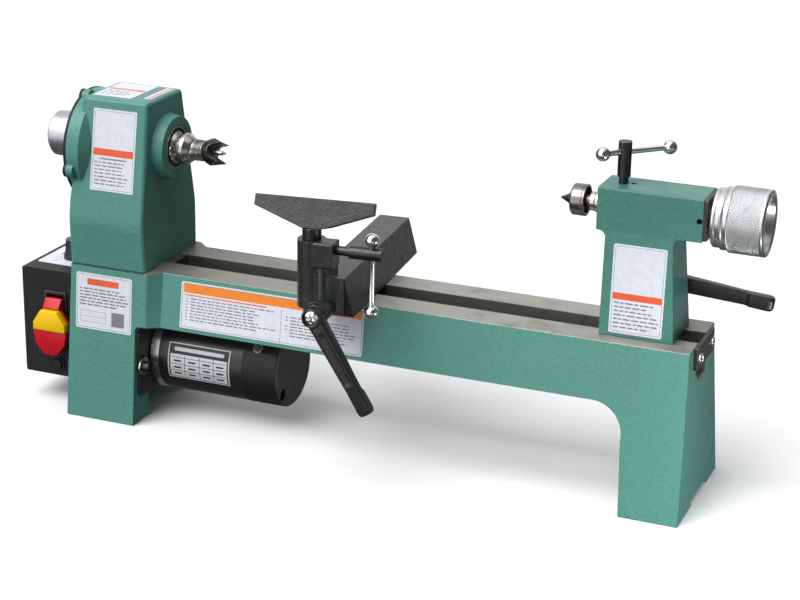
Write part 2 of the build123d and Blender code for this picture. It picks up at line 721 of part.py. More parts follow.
def banjo_floor(z):
    return Plane(origin=banjo_point(0, 0, z), x_dir=banjo_right, z_dir=(0, 0, 1))


def banjo_front(y):
    """An upright plane across the arm; extruding from it goes towards the operator."""
    return Plane(origin=banjo_point(0, y, 0), x_dir=banjo_right, z_dir=-banjo_back)


def banjo_side(x):
    """An upright plane along the arm; extruding from it goes to the right."""
    return Plane(origin=banjo_point(x, 0, 0), x_dir=banjo_back, z_dir=banjo_right)


clamp_plate_top = bed_top - way_thickness - gap
clamp_plate_thickness = 8.0

with BuildPart() as banjo_clamp_plate:
    with BuildSketch(Plane.XY.offset(clamp_plate_top - clamp_plate_thickness)):
        with Locations((banjo_x, 0)):
            Rectangle(40, 50)
    extrude(amount=clamp_plate_thickness)
    with BuildSketch(Plane.XY.offset(clamp_plate_top)):
        with Locations((banjo_x, 0)):
            Rectangle(34, 2 * slot_half_width - 0.8)
    extrude(amount=8)
    with BuildSketch(Plane.XY.offset(100)):
        with Locations((banjo_x, 0)):
            Circle(5)
    extrude(amount=50, mode=Mode.SUBTRACT)

with BuildPart() as banjo_clamp_bolt:
    with BuildSketch(Plane.XY.offset(104)):
        with Locations((banjo_x, 0)):
            Circle(5)
    extrude(amount=42)

with BuildPart() as banjo_clamp_nut:
    with BuildSketch(Plane.XY.offset(clamp_plate_top - clamp_plate_thickness - 8)):
        with Locations((banjo_x, 0)):
            RegularPolygon(9, 6)
            Circle(5, mode=Mode.SUBTRACT)
    extrude(amount=8)

with BuildPart() as banjo_eye:
    with BuildSketch(banjo_floor(142)):
        Rectangle(18, 17)
    extrude(amount=21)
    with BuildSketch(banjo_floor(141)):
        Circle(5 + running)
    extrude(amount=5.5, mode=Mode.SUBTRACT)
    with BuildSketch(banjo_front(12)):
        with Locations((0, cam_z)):
            Circle(cam_radius + running)
    extrude(amount=24, mode=Mode.SUBTRACT)

with BuildPart() as banjo_casting:
    arm_bottom = bed_top + gap
    with BuildSketch(banjo_front(arm_rear)) as arm_section:
        Polygon(
            (-arm_half_foot, arm_bottom), (-arm_half_top, arm_top), (arm_half_top, arm_top),
            (arm_half_foot, arm_bottom),
        )
        fillet(arm_section.vertices().filter_by(lambda v: v.Y > arm_top - 1), radius=1.5)
    extrude(amount=arm_rear - arm_front)
    with BuildSketch(banjo_front(arm_rear - 6)):
        Polygon((-17, arm_bottom - 1), (-10.3, arm_top - 7), (10.3, arm_top - 7), (17, arm_bottom - 1))
    extrude(amount=arm_rear - arm_front - 13, mode=Mode.SUBTRACT)
    # upright that carries the socket
    with BuildSketch(banjo_floor(155)):
        with Locations((socket_x, socket_y)):
            Circle(socket_radius)
    extrude(amount=socket_top - 155)
    with BuildSketch(banjo_floor(155)):
        with Locations((socket_x + 0.5, -76)):
            RectangleRounded(23, 28, 2)
    extrude(amount=43)
    # fairing from the arm's right-hand corner up to the front of the socket
    with BuildSketch(Plane(origin=banjo_point(14.2, -78, 0), x_dir=-banjo_right * 0.5 - banjo_back * 0.866,
                           z_dir=-banjo_right * 0.866 + banjo_back * 0.5)):
        Polygon((0, arm_bottom), (0, arm_top), (32, 186), (32, 155))
    extrude(amount=12)
    # boss around the cam shaft, and the clamp screw's lug
    with BuildSketch(banjo_front(arm_front + 1)):
        with Locations((0, cam_z)):
            Circle(10)
    extrude(amount=30.7)
    with BuildSketch(banjo_side(socket_x)):
        with Locations((-97.5, 201.5)):
            RectangleRounded(18, 22, 2)
    extrude(amount=13.5 - socket_x)
    # bores
    with BuildSketch(banjo_floor(164)):
        with Locations((socket_x, socket_y)):
            Circle(post_radius + running)
    extrude(amount=60, mode=Mode.SUBTRACT)
    with BuildSketch(banjo_front(arm_front + 20)):
        with Locations((0, cam_z)):
            Circle(cam_radius + running)
    extrude(amount=58, mode=Mode.SUBTRACT)
    with BuildSketch(banjo_side(socket_x)):
        with Locations((socket_y, rest_clamp_z)):
            Circle(screw_radius + running)
    extrude(amount=40, mode=Mode.SUBTRACT)

with BuildPart() as banjo_lock_shaft:
    with BuildSketch(banjo_front(88)):
        with Locations((0, cam_z)):
            Circle(cam_radius)
    extrude(amount=88 + 116.4)

lever_hub = banjo_point(0, -113, cam_z)
lever_drop = radians(32.7)
lever_heading = banjo_right * sin(lever_drop) + Vector(0, 0, -cos(lever_drop))
banjo_lock_lever = clamp_lever(lever_hub, -banjo_back, lever_heading, 92, 5)

with BuildPart() as banjo_lever_screw:
    with BuildSketch(banjo_front(-116.6)):
        with Locations((0, cam_z)):
            Circle(6.3)
    extrude(amount=3.8, taper=15)

# ---- tool rest ---------------------------------------------------------------------------
post_centre = banjo_point(socket_x, socket_y, 0)
yaw = radians(rest_yaw)
lean = radians(rest_lean)
rest_along = Vector(cos(yaw), sin(yaw), 0)
rest_out = Vector(sin(yaw), -cos(yaw), 0)
rest_normal = rest_out * cos(lean) + Vector(0, 0, sin(lean))

pin_radius, pin_height = 3.0, 3.4
with BuildPart() as tool_rest_post:
    with BuildSketch(Plane(origin=post_centre + Vector(0, 0, 168), z_dir=(0, 0, 1))):
        Circle(post_radius)
    extrude(amount=rest_foot - 168 - gap)
    with BuildSketch(Plane(origin=post_centre + Vector(0, 0, rest_foot - gap), z_dir=(0, 0, 1))):
        Circle(pin_radius)
    extrude(amount=pin_height)

blade_thickness = 6.0
blade_height = (rest_top - rest_foot) / cos(lean)
with BuildPart() as tool_rest:
    blade_foot = post_centre + Vector(0, 0, rest_foot) + rest_out * 6
    blade_plane = Plane(origin=blade_foot + rest_along * 1.2, x_dir=rest_along, z_dir=rest_normal)
    with BuildSketch(blade_plane):
        Polygon(
            (-8, 0), (-rest_length / 2, blade_height - 9.5), (-rest_length / 2, blade_height),
            (rest_length / 2, blade_height), (rest_length / 2, blade_height - 9.5), (8, 0),
        )
    extrude(amount=-blade_thickness)
    with BuildSketch(Plane(origin=post_centre + Vector(0, 0, rest_foot), z_dir=(0, 0, 1))):
        Circle(post_radius)
    extrude(amount=11)
    with BuildSketch(blade_plane):
        Rectangle(200, 200)
    extrude(amount=30, mode=Mode.SUBTRACT)
    with BuildSketch(Plane(origin=post_centre + Vector(0, 0, rest_foot), z_dir=(0, 0, 1))):
        Circle(40)
    extrude(amount=-10, mode=Mode.SUBTRACT)
    with BuildSketch(Plane(origin=post_centre + Vector(0, 0, rest_foot), z_dir=(0, 0, 1))):
        Circle(pin_radius + running)
    extrude(amount=pin_height + 0.2, mode=Mode.SUBTRACT)

bar_x = 43.8
with BuildPart() as rest_clamp_screw:
    with BuildSketch(banjo_side(0.6)):
        with Locations((socket_y, rest_clamp_z)):
            Circle(screw_radius)
    extrude(amount=24.5)
    with BuildSketch(banjo_side(25.1)):
        with Locations((socket_y, rest_clamp_z)):
            Circle(barrel_radius)
    extrude(amount=27.8)
    with BuildSketch(Plane(origin=banjo_point(bar_x, socket_y, rest_clamp_z - 10), z_dir=(0, 0, 1))):
        Circle(bar_radius + running)
    extrude(amount=20, mode=Mode.SUBTRACT)

ball_stop = barrel_radius + ball_radius + 0.1
rest_bar_top = banjo_point(bar_x, socket_y, rest_clamp_z + ball_stop)
rest_clamp_bar = sliding_bar(rest_bar_top, (0, 0, -1))

# ---- tailstock ---------------------------------------------------------------------------
with BuildPart() as tailstock_casting:
    with BuildSketch(Plane.XZ.offset(-tail_half_width)) as tail_shape:
        Polygon(
            (column_left, bed_top + gap), (column_left, tail_block_bottom), (tail_left, tail_block_bottom),
            (tail_left, tail_block_top), (tail_right, tail_block_top), (tail_right, tail_block_bottom),
            (column_right_top, tail_block_bottom), (column_right, bed_top + gap),
        )
        inner = tail_shape.vertices().filter_by(lambda v: abs(v.Y - tail_block_bottom) < 0.1)
        fillet(inner.filter_by(lambda v: tail_left + 1 < v.X < tail_right - 1), radius=6)
    extrude(amount=2 * tail_half_width)
    with BuildSketch(Plane.XY.offset(bed_top + gap)):
        with Locations(((column_left + column_right) / 2, 0)):
            Rectangle(column_right - column_left, 2 * column_half_foot)
    with BuildSketch(Plane.XY.offset(tail_block_bottom)):
        with Locations(((column_left + column_right_top) / 2, 0)):
            Rectangle(column_right_top - column_left, 2 * tail_half_width)
    loft(ruled=True)
    fillet(tailstock_casting.edges().filter_by(Axis.X).group_by(Axis.Z)[-1], radius=1.5)
    # boss around the lock shaft
    with BuildSketch(Plane.XZ.offset(-30.2)):
        with Locations((tail_x, tail_cam_z)):
            Circle(11)
    extrude(amount=12)
    # hollow of the column, guide tongue in the slot
    with BuildSketch(Plane.XY.offset(bed_top)):
        with Locations((232, 0)):
            Rectangle(46, 36)
    extrude(amount=70, mode=Mode.SUBTRACT)
    for side in (column_left + 1, column_right - 8):
        add_box(side, side + 7, -slot_half_width + 0.4, slot_half_width - 0.4, 133, bed_top + 4)
    # bores for the quill, the lock screw, the lock shaft, the oil hole and the set screw
    with BuildSketch(Plane.YZ.offset(tail_left - 1)):
        with Locations((0, spindle_z)):
            Circle(quill_radius + running)
    extrude(amount=tail_right - tail_left + 2, mode=Mode.SUBTRACT)
    with BuildSketch(Plane.XY.offset(spindle_z)):
        with Locations((quill_lock_x, 0)):
            Circle(screw_radius + running)
        with Locations((216.5, 1.5)):
            Circle(2.4)
    extrude(amount=30, mode=Mode.SUBTRACT)
    with BuildSketch(Plane.XZ.offset(-40)):
        with Locations((tail_x, tail_cam_z)):
            Circle(6 + running)
    extrude(amount=61, mode=Mode.SUBTRACT)
    with BuildSketch(Plane.XZ.offset(10)):
        with Locations((277, spindle_z)):
            Circle(2.5)
    extrude(amount=20, mode=Mode.SUBTRACT)

with BuildPart() as tailstock_end_plate:
    with BuildSketch(Plane.YZ.offset(tail_right)):
        with Locations((0, 246)):
            RectangleRounded(38.5, 34.5, 2)
        with Locations((0, spindle_z)):
            Circle(lead_screw_radius + running, mode=Mode.SUBTRACT)
    extrude(amount=3.2)

with BuildPart() as tailstock_clamp_plate:
    with BuildSketch(Plane.XY.offset(clamp_plate_top - clamp_plate_thickness)):
        with Locations((tail_x, 0)):
            Rectangle(44, 50)
    extrude(amount=clamp_plate_thickness)
    with BuildSketch(Plane.XY.offset(clamp_plate_top)):
        with Locations((tail_x, 0)):
            Rectangle(40, 2 * slot_half_width - 0.8)
    extrude(amount=7)
    with BuildSketch(Plane.XY.offset(100)):
        with Locations((tail_x, 0)):
            Circle(5)
    extrude(amount=50, mode=Mode.SUBTRACT)

with BuildPart() as tailstock_clamp_bolt:
    with BuildSketch(Plane.XY.offset(104)):
        with Locations((tail_x, 0)):
            Circle(5)
    extrude(amount=57)
    with BuildSketch(Plane.XZ.offset(-7)):
        with Locations((tail_x, tail_cam_z)):
            Circle(13)
            Circle(6.4, mode=Mode.SUBTRACT)
    extrude(amount=14)

with BuildPart() as tailstock_clamp_nut:
    with BuildSketch(Plane.XY.offset(clamp_plate_top - clamp_plate_thickness - 8)):
        with Locations((tail_x, 0)):
            RegularPolygon(9, 6)
            Circle(5, mode=Mode.SUBTRACT)
    extrude(amount=8)

with BuildPart() as tailstock_lock_shaft:
    with BuildSketch(Plane.XZ.offset(-30)):
        with Locations((tail_x, tail_cam_z)):
            Circle(6)
    extrude(amount=50.5)
    with BuildSketch(Plane.XZ.offset(-38.5)):
        with Locations((tail_x, tail_cam_z)):
            Circle(cam_radius)
    extrude(amount=8.5)

tail_lever_drop = radians(6.7)
tail_lever_heading = Vector(cos(tail_lever_drop), 0, -sin(tail_lever_drop))
tailstock_lock_lever = clamp_lever((tail_x, 36, tail_cam_z), (0, 1, 0), tail_lever_heading, 98.5, 4)

with BuildPart() as quill:
    turned([
        (quill_nose + 1, quill_radius), (quill_end, quill_radius), (quill_end, lead_screw_radius + running),
        (quill_nose + 40, lead_screw_radius + running), (quill_nose, taper_large),
        (quill_nose, quill_radius - 1),
    ], spindle_z)

with BuildPart() as centre_shank:
    turned([
        (quill_nose + 39.5, 0), (quill_nose + 39.5, lead_screw_radius), (quill_nose, taper_large - 0.03),
        (quill_nose, 8), (quill_nose - 3.6, 8), (quill_nose - 3.6, 4), (170, 4), (170, 0),
    ], spindle_z)

with BuildPart() as live_centre:
    turned([
        (155, 0), (155, 0.2), (164.6, 5.6), (165, 12.4), (166, 13.2), (181, 13.2), (182, 12.2),
        (182, 4 + running), (170 - 0.4, 4 + running), (170 - 0.4, 0),
    ], spindle_z)

with BuildPart() as tailstock_screw:
    turned([
        (lead_screw_tip, 0), (lead_screw_tip, lead_screw_radius), (quill_end + 0.6, lead_screw_radius),
        (quill_end + 0.6, 8), (tail_right - gap, 8), (tail_right - gap, lead_screw_radius),
        (wheel_left + 11, lead_screw_radius), (wheel_left + 11, 0),
    ], spindle_z)

with BuildPart() as tailstock_handwheel:
    turned([
        (wheel_left - 1.6, lead_screw_radius), (wheel_left - 1.6, 9), (wheel_left, 9), (wheel_left, 23.4),
        (wheel_left + 1, 24.4), (wheel_left + 7, 24.4), (wheel_left + 7, 25.8), (wheel_left + 13.5, 25.8),
        (wheel_left + 13.5, wheel_radius), (wheel_right - 1, wheel_radius), (wheel_right, wheel_radius - 1),
        (wheel_right, 22), (wheel_right - 1, 21), (wheel_left + 9, 21), (wheel_left + 9, lead_screw_radius),
    ], spindle_z)

lock_bar_z = 289.5
with BuildPart() as quill_lock_screw:
    with BuildSketch(Plane.XY.offset(spindle_z + quill_radius + gap)):
        with Locations((quill_lock_x, 0)):
            Circle(screw_radius)
    extrude(amount=269.4 - spindle_z - quill_radius - gap)
    with BuildSketch(Plane.XY.offset(269.4)):
        with Locations((quill_lock_x, 0)):
            Circle(barrel_radius)
    extrude(amount=29)
    bar_heading = Vector(cos(radians(45.6)), sin(radians(45.6)), 0)
    bar_middle = Vector(quill_lock_x, 0, lock_bar_z)
    with BuildSketch(Plane(origin=bar_middle - bar_heading * 10, z_dir=bar_heading)):
        Circle(bar_radius + running)
    extrude(amount=20, mode=Mode.SUBTRACT)

quill_lock_bar = sliding_bar(bar_middle - bar_heading * 20.2, bar_heading)

# ---- write every piece -------------------------------------------------------------------
os.makedirs("parts", exist_ok=True)
bed_casting.part.label = "bed_casting"
export_step(bed_casting.part, "parts/bed_casting.step")
bed_end_plate.part.label = "bed_end_plate"
export_step(bed_end_plate.part, "parts/bed_end_plate.step")
bed_end_screws.part.label = "bed_end_screws"
export_step(bed_end_screws.part, "parts/bed_end_screws.step")
headstock_casting.part.label = "headstock_casting"
export_step(headstock_casting.part, "parts/headstock_casting.step")
headstock_bolts.part.label = "headstock_bolts"
export_step(headstock_bolts.part, "parts/headstock_bolts.step")
spindle_cover.part.label = "spindle_cover"
export_step(spindle_cover.part, "parts/spindle_cover.step")
cover_screws.part.label = "cover_screws"
export_step(cover_screws.part, "parts/cover_screws.step")
bearing_outer_rings.part.label = "bearing_outer_rings"
export_step(bearing_outer_rings.part, "parts/bearing_outer_rings.step")
bearing_seals.part.label = "bearing_seals"
export_step(bearing_seals.part, "parts/bearing_seals.step")
bearing_inner_rings.part.label = "bearing_inner_rings"
export_step(bearing_inner_rings.part, "parts/bearing_inner_rings.step")
spindle.part.label = "spindle"
export_step(spindle.part, "parts/spindle.step")
spindle_pulley.part.label = "spindle_pulley"
export_step(spindle_pulley.part, "parts/spindle_pulley.step")
outboard_handwheel.part.label = "outboard_handwheel"
export_step(outboard_handwheel.part, "parts/outboard_handwheel.step")
spur_centre.part.label = "spur_centre"
export_step(spur_centre.part, "parts/spur_centre.step")
spur_point.part.label = "spur_point"
export_step(spur_point.part, "parts/spur_point.step")
drive_belt.part.label = "drive_belt"
export_step(drive_belt.part, "parts/drive_belt.step")
motor_pulley.part.label = "motor_pulley"
export_step(motor_pulley.part, "parts/motor_pulley.step")
motor_rotor.part.label = "motor_rotor"
export_step(motor_rotor.part, "parts/motor_rotor.step")
motor_flange.part.label = "motor_flange"
export_step(motor_flange.part, "parts/motor_flange.step")
motor_can.part.label = "motor_can"
export_step(motor_can.part, "parts/motor_can.step")
motor_end_bell.part.label = "motor_end_bell"
export_step(motor_end_bell.part, "parts/motor_end_bell.step")
motor_bracket.part.label = "motor_bracket"
export_step(motor_bracket.part, "parts/motor_bracket.step")
motor_bolts.part.label = "motor_bolts"
export_step(motor_bolts.part, "parts/motor_bolts.step")
motor_washers.part.label = "motor_washers"
export_step(motor_washers.part, "parts/motor_washers.step")
control_box.part.label = "control_box"
export_step(control_box.part, "parts/control_box.step")
speed_scale.part.label = "speed_scale"
export_step(speed_scale.part, "parts/speed_scale.step")
speed_knob.part.label = "speed_knob"
export_step(speed_knob.part, "parts/speed_knob.step")
speed_control.part.label = "speed_control"
export_step(speed_control.part, "parts/speed_control.step")
switch_housing.part.label = "switch_housing"
export_step(switch_housing.part, "parts/switch_housing.step")
switch_toggle.part.label = "switch_toggle"
export_step(switch_toggle.part, "parts/switch_toggle.step")
switch_key.part.label = "switch_key"
export_step(switch_key.part, "parts/switch_key.step")
reset_button.part.label = "reset_button"
export_step(reset_button.part, "parts/reset_button.step")
power_inlet.part.label = "power_inlet"
export_step(power_inlet.part, "parts/power_inlet.step")
motor_controller.part.label = "motor_controller"
export_step(motor_controller.part, "parts/motor_controller.step")
banjo_clamp_plate.part.label = "banjo_clamp_plate"
export_step(banjo_clamp_plate.part, "parts/banjo_clamp_plate.step")
banjo_clamp_bolt.part.label = "banjo_clamp_bolt"
export_step(banjo_clamp_bolt.part, "parts/banjo_clamp_bolt.step")
banjo_clamp_nut.part.label = "banjo_clamp_nut"
export_step(banjo_clamp_nut.part, "parts/banjo_clamp_nut.step")
banjo_eye.part.label = "banjo_eye"
export_step(banjo_eye.part, "parts/banjo_eye.step")
banjo_casting.part.label = "banjo_casting"
export_step(banjo_casting.part, "parts/banjo_casting.step")
banjo_lock_shaft.part.label = "banjo_lock_shaft"
export_step(banjo_lock_shaft.part, "parts/banjo_lock_shaft.step")
banjo_lock_lever.label = "banjo_lock_lever"
export_step(banjo_lock_lever, "parts/banjo_lock_lever.step")
banjo_lever_screw.part.label = "banjo_lever_screw"
export_step(banjo_lever_screw.part, "parts/banjo_lever_screw.step")
tool_rest_post.part.label = "tool_rest_post"
export_step(tool_rest_post.part, "parts/tool_rest_post.step")
tool_rest.part.label = "tool_rest"
export_step(tool_rest.part, "parts/tool_rest.step")
rest_clamp_screw.part.label = "rest_clamp_screw"
export_step(rest_clamp_screw.part, "parts/rest_clamp_screw.step")
rest_clamp_bar.label = "rest_clamp_bar"
export_step(rest_clamp_bar, "parts/rest_clamp_bar.step")
tailstock_casting.part.label = "tailstock_casting"
export_step(tailstock_casting.part, "parts/tailstock_casting.step")
tailstock_end_plate.part.label = "tailstock_end_plate"
export_step(tailstock_end_plate.part, "parts/tailstock_end_plate.step")
tailstock_clamp_plate.part.label = "tailstock_clamp_plate"
export_step(tailstock_clamp_plate.part, "parts/tailstock_clamp_plate.step")
tailstock_clamp_bolt.part.label = "tailstock_clamp_bolt"
export_step(tailstock_clamp_bolt.part, "parts/tailstock_clamp_bolt.step")
tailstock_clamp_nut.part.label = "tailstock_clamp_nut"
export_step(tailstock_clamp_nut.part, "parts/tailstock_clamp_nut.step")
tailstock_lock_shaft.part.label = "tailstock_lock_shaft"
export_step(tailstock_lock_shaft.part, "parts/tailstock_lock_shaft.step")
tailstock_lock_lever.label = "tailstock_lock_lever"
export_step(tailstock_lock_lever, "parts/tailstock_lock_lever.step")
quill.part.label = "quill"
export_step(quill.part, "parts/quill.step")
centre_shank.part.label = "centre_shank"
export_step(centre_shank.part, "parts/centre_shank.step")
live_centre.part.label = "live_centre"
export_step(live_centre.part, "parts/live_centre.step")
tailstock_screw.part.label = "tailstock_screw"
export_step(tailstock_screw.part, "parts/tailstock_screw.step")
tailstock_handwheel.part.label = "tailstock_handwheel"
export_step(tailstock_handwheel.part, "parts/tailstock_handwheel.step")
quill_lock_screw.part.label = "quill_lock_screw"
export_step(quill_lock_screw.part, "parts/quill_lock_screw.step")
quill_lock_bar.label = "quill_lock_bar"
export_step(quill_lock_bar, "parts/quill_lock_bar.step")
print("60 pieces written")
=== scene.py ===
import json
import math
import random
import bmesh
import bpy
from mathutils import Matrix, Vector


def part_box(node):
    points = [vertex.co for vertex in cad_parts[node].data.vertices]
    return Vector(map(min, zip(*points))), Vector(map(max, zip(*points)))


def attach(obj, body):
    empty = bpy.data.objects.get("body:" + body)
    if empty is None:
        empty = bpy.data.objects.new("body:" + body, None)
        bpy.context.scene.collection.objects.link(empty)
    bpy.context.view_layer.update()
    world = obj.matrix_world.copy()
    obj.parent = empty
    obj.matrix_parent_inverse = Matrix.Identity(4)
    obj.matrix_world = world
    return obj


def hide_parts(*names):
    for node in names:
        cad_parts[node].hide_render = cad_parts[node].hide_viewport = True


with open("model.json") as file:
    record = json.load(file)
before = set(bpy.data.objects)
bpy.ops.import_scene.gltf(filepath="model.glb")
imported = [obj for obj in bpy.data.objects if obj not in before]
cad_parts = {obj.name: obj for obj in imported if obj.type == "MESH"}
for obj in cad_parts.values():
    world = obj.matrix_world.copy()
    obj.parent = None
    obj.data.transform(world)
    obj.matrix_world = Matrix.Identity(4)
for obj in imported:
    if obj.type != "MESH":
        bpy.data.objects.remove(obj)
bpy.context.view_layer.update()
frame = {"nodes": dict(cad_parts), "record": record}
nodes = frame["nodes"]

MM = 0.001
SPINDLE_Z = 245.0
MOTOR_Z = 54.9
MOTOR_RADIUS = 36.0
GRIP_LEFT, GRIP_RIGHT = 299.6, 326.5        # the knurled part of the tailstock handwheel

# in metres: the height above which the bed is bare, where the headstock's seat ends, half the slot's width
BED_TOP = 0.1405
SEAT_END = -0.2086
SLOT_HALF = 0.0132

# the slot each CAD node takes its finish from, as the record says
node_slots = {s["node"]: s["material_slot"] for s in frame["record"]["subparts"]}


# ---- material building --------------------------------------------------------------------
class Shade:
    """A node material under construction. Most methods return an output socket."""

    def __init__(self, name, colour, **sockets):
        self.material = bpy.data.materials.new(name)
        self.material.use_nodes = True
        self.material.diffuse_color = (*colour, 1)
        self.tree = self.material.node_tree
        self.shader = self.tree.nodes["Principled BSDF"]
        self.shader.inputs["Base Color"].default_value = (*colour, 1)
        for key, value in sockets.items():
            self.shader.inputs[key.replace("_", " ")].default_value = value
        self.place = self.node("ShaderNodeTexCoord").outputs["Object"]
        self.axes = self.node("ShaderNodeSeparateXYZ", {0: self.place}).outputs

    def node(self, kind, inputs=None, **settings):
        made = self.tree.nodes.new(kind)
        for key, value in settings.items():
            setattr(made, key, value)
        for key, value in (inputs or {}).items():
            if isinstance(value, bpy.types.NodeSocket):
                self.tree.links.new(value, made.inputs[key])
            else:
                made.inputs[key].default_value = value
        return made

    def math(self, operation, a, b=0.0, clamp=False):
        return self.node("ShaderNodeMath", {0: a, 1: b}, operation=operation, use_clamp=clamp).outputs[0]

    def noise(self, scale, detail=3.0, rough=0.5, stretch=None):
        where = self.place
        if stretch:
            where = self.node("ShaderNodeMapping", {"Vector": where, "Scale": stretch}).outputs[0]
        inputs = {"Vector": where, "Scale": scale, "Detail": detail, "Roughness": rough}
        return self.node("ShaderNodeTexNoise", inputs).outputs["Fac"]

    def cells(self, scale, feature="F1"):
        inputs = {"Vector": self.place, "Scale": scale}
        return self.node("ShaderNodeTexVoronoi", inputs, feature=feature).outputs["Distance"]

    def radius(self, centre):
        """Distance from an axis along X."""
        y, z = centre
        dy = self.math("SUBTRACT", self.axes[1], y * MM)
        dz = self.math("SUBTRACT", self.axes[2], z * MM)
        squared = self.math("ADD", self.math("MULTIPLY", dy, dy), self.math("MULTIPLY", dz, dz))
        return self.math("SQRT", squared)

    def rings(self, frequency, centre, detail=2.0):
        """Fine turned lines about an axis along X: rings on the side, circles on the end."""
        along = self.math("ADD", self.axes[0], self.radius(centre))
        inputs = {"W": along, "Scale": frequency, "Detail": detail, "Roughness": 0.6}
        return self.node("ShaderNodeTexNoise", inputs, noise_dimensions="1D").outputs["Fac"]

    def ramp(self, fac, low, high, a=0.0, b=1.0):
        """Smoothly from a at low to b at high."""
        inputs = {"Value": fac, "From Min": low, "From Max": high, "To Min": a, "To Max": b}
        return self.node("ShaderNodeMapRange", inputs, interpolation_type="SMOOTHSTEP").outputs[0]

    def mix(self, fac, a, b):
        """Colour a where fac is 0, colour b where it is 1."""
        inputs = {0: fac}
        for key, value in ((6, a), (7, b)):
            inputs[key] = value if isinstance(value, bpy.types.NodeSocket) else (*value, 1)
        return self.node("ShaderNodeMix", inputs, data_type="RGBA").outputs[2]

    def edges(self, radius, softness=0.25):
        """1 on the outer edges of the piece, 0 on its flats and in its corners."""
        bevel = self.node("ShaderNodeBevel", {"Radius": radius * MM}, samples=6).outputs[0]
        normal = self.node("ShaderNodeNewGeometry").outputs["Normal"]
        turn = self.node("ShaderNodeVectorMath", {0: bevel, 1: normal}, operation="DOT_PRODUCT")
        edge = self.ramp(turn.outputs["Value"], 1.0, 1.0 - softness)
        inputs = {"Distance": 2.5 * radius * MM}
        inner = self.node("ShaderNodeAmbientOcclusion", inputs, samples=6, only_local=True)
        return self.math("MULTIPLY", edge, self.ramp(inner.outputs["AO"], 0.55, 0.8))

    def relief(self, *layers, bevel=0.0):
        """Bump from (height socket, depth in mm) layers over a softened edge."""
        normal = None
        if bevel:
            normal = self.node("ShaderNodeBevel", {"Radius": bevel * MM}, samples=6).outputs[0]
        for height, depth in layers:
            inputs = {"Height": height, "Strength": 1.0, "Distance": depth * MM}
            if normal is not None:
                inputs["Normal"] = normal
            normal = self.node("ShaderNodeBump", inputs).outputs[0]
        self.set("Normal", normal)

    def set(self, name, socket):
        self.tree.links.new(socket, self.shader.inputs[name])


def green_paint(name, ground=False, tone=1.0):
    """Thick enamel over cast iron; the top of the bed is ground bare, its ways darker towards the headstock as
    painted shade.
    """
    s = Shade(name, (0.082, 0.256, 0.206), Specular_IOR_Level=0.3)
    mottle = s.noise(420, 3, 0.6)
    cloud = s.noise(9, 2, 0.5)
    # a tone below 1 darkens the enamel's colours: painted shade for a less lit copy of the same paint
    base = s.mix(s.ramp(mottle, 0.3, 0.7), tuple(tone * c for c in (0.070, 0.230, 0.186)),
                 tuple(tone * c for c in (0.084, 0.262, 0.212)))
    base = s.mix(s.ramp(cloud, 0.35, 0.7, 0.0, 0.35), base, tuple(tone * c for c in (0.062, 0.208, 0.167)))
    pits = s.ramp(s.cells(58), 0.035, 0.02)
    pits = s.math("MULTIPLY", pits, s.ramp(s.noise(14, 1), 0.58, 0.66))
    base = s.mix(s.math("MULTIPLY", pits, 0.75), base, (0.012, 0.028, 0.024))
    worn = s.math("MULTIPLY", s.edges(0.8), s.ramp(s.noise(170, 4, 0.7), 0.50, 0.62))
    base = s.mix(s.math("MULTIPLY", worn, 0.7), base, (0.34, 0.56, 0.48))
    rough = s.ramp(s.noise(60, 4, 0.6), 0.3, 0.7, 0.30, 0.40)
    peel = s.noise(330, 2, 0.5)
    cast = s.noise(38, 2, 0.45)
    if ground:
        chipped = s.noise(190, 4, 0.7)
        height = s.math("ADD", s.axes[2], s.ramp(chipped, 0.52, 0.72, 0.0, 0.0009))
        right = s.ramp(s.axes[0], SEAT_END - 0.0001, SEAT_END + 0.0001)
        top = s.math("MULTIPLY", s.ramp(height, BED_TOP - 0.0002, BED_TOP + 0.0002), right)
        left = s.math("SUBTRACT", 1.0, right)
        seam = s.math("MULTIPLY", s.ramp(s.axes[2], BED_TOP - 0.0003, BED_TOP), left)
        base = s.mix(s.math("MULTIPLY", seam, 0.9), base, (0.008, 0.016, 0.013))
        far = s.math("ABSOLUTE", s.axes[1])
        inner = s.ramp(far, SLOT_HALF + 0.0001, SLOT_HALF - 0.0001)
        slot = s.math("MULTIPLY", inner, s.ramp(s.axes[2], 0.100, 0.112))
        metal = s.math("MAXIMUM", top, slot)
        grind = s.noise(60, 5, 0.65, stretch=(0.6, 30, 6))
        stain = s.noise(26, 4, 0.65)
        steel = s.mix(s.ramp(grind, 0.25, 0.75), (0.30, 0.288, 0.262), (0.42, 0.407, 0.378))
        steel = s.mix(s.ramp(stain, 0.48, 0.74, 0.0, 0.6), steel, (0.17, 0.152, 0.125))
        # darker towards the headstock at the left: painted shade where the headstock blocks the light over the
        # ways
        steel = s.mix(s.ramp(s.axes[0], 0.05, -0.20, 0.0, 0.55), steel, (0.15, 0.138, 0.115))
        steel = s.mix(s.math("MULTIPLY", slot, 0.8), steel, (0.075, 0.066, 0.056))
        base = s.mix(metal, base, steel)
        steel_rough = s.ramp(grind, 0.2, 0.8, 0.40, 0.56)
        rough = s.node("ShaderNodeMix", {0: metal, 2: rough, 3: steel_rough}, data_type="FLOAT").outputs[0]
        s.set("Metallic", s.math("MULTIPLY", metal, 0.55))
        peel = s.math("MULTIPLY", peel, s.math("SUBTRACT", 1.0, metal))
        s.relief((cast, 0.5), (peel, 0.30), (grind, 0.025), bevel=0.7)
    else:
        s.relief((cast, 0.5), (peel, 0.30), (pits, -0.25), bevel=0.9)
    s.set("Base Color", base)
    s.set("Roughness", rough)
    return s.material


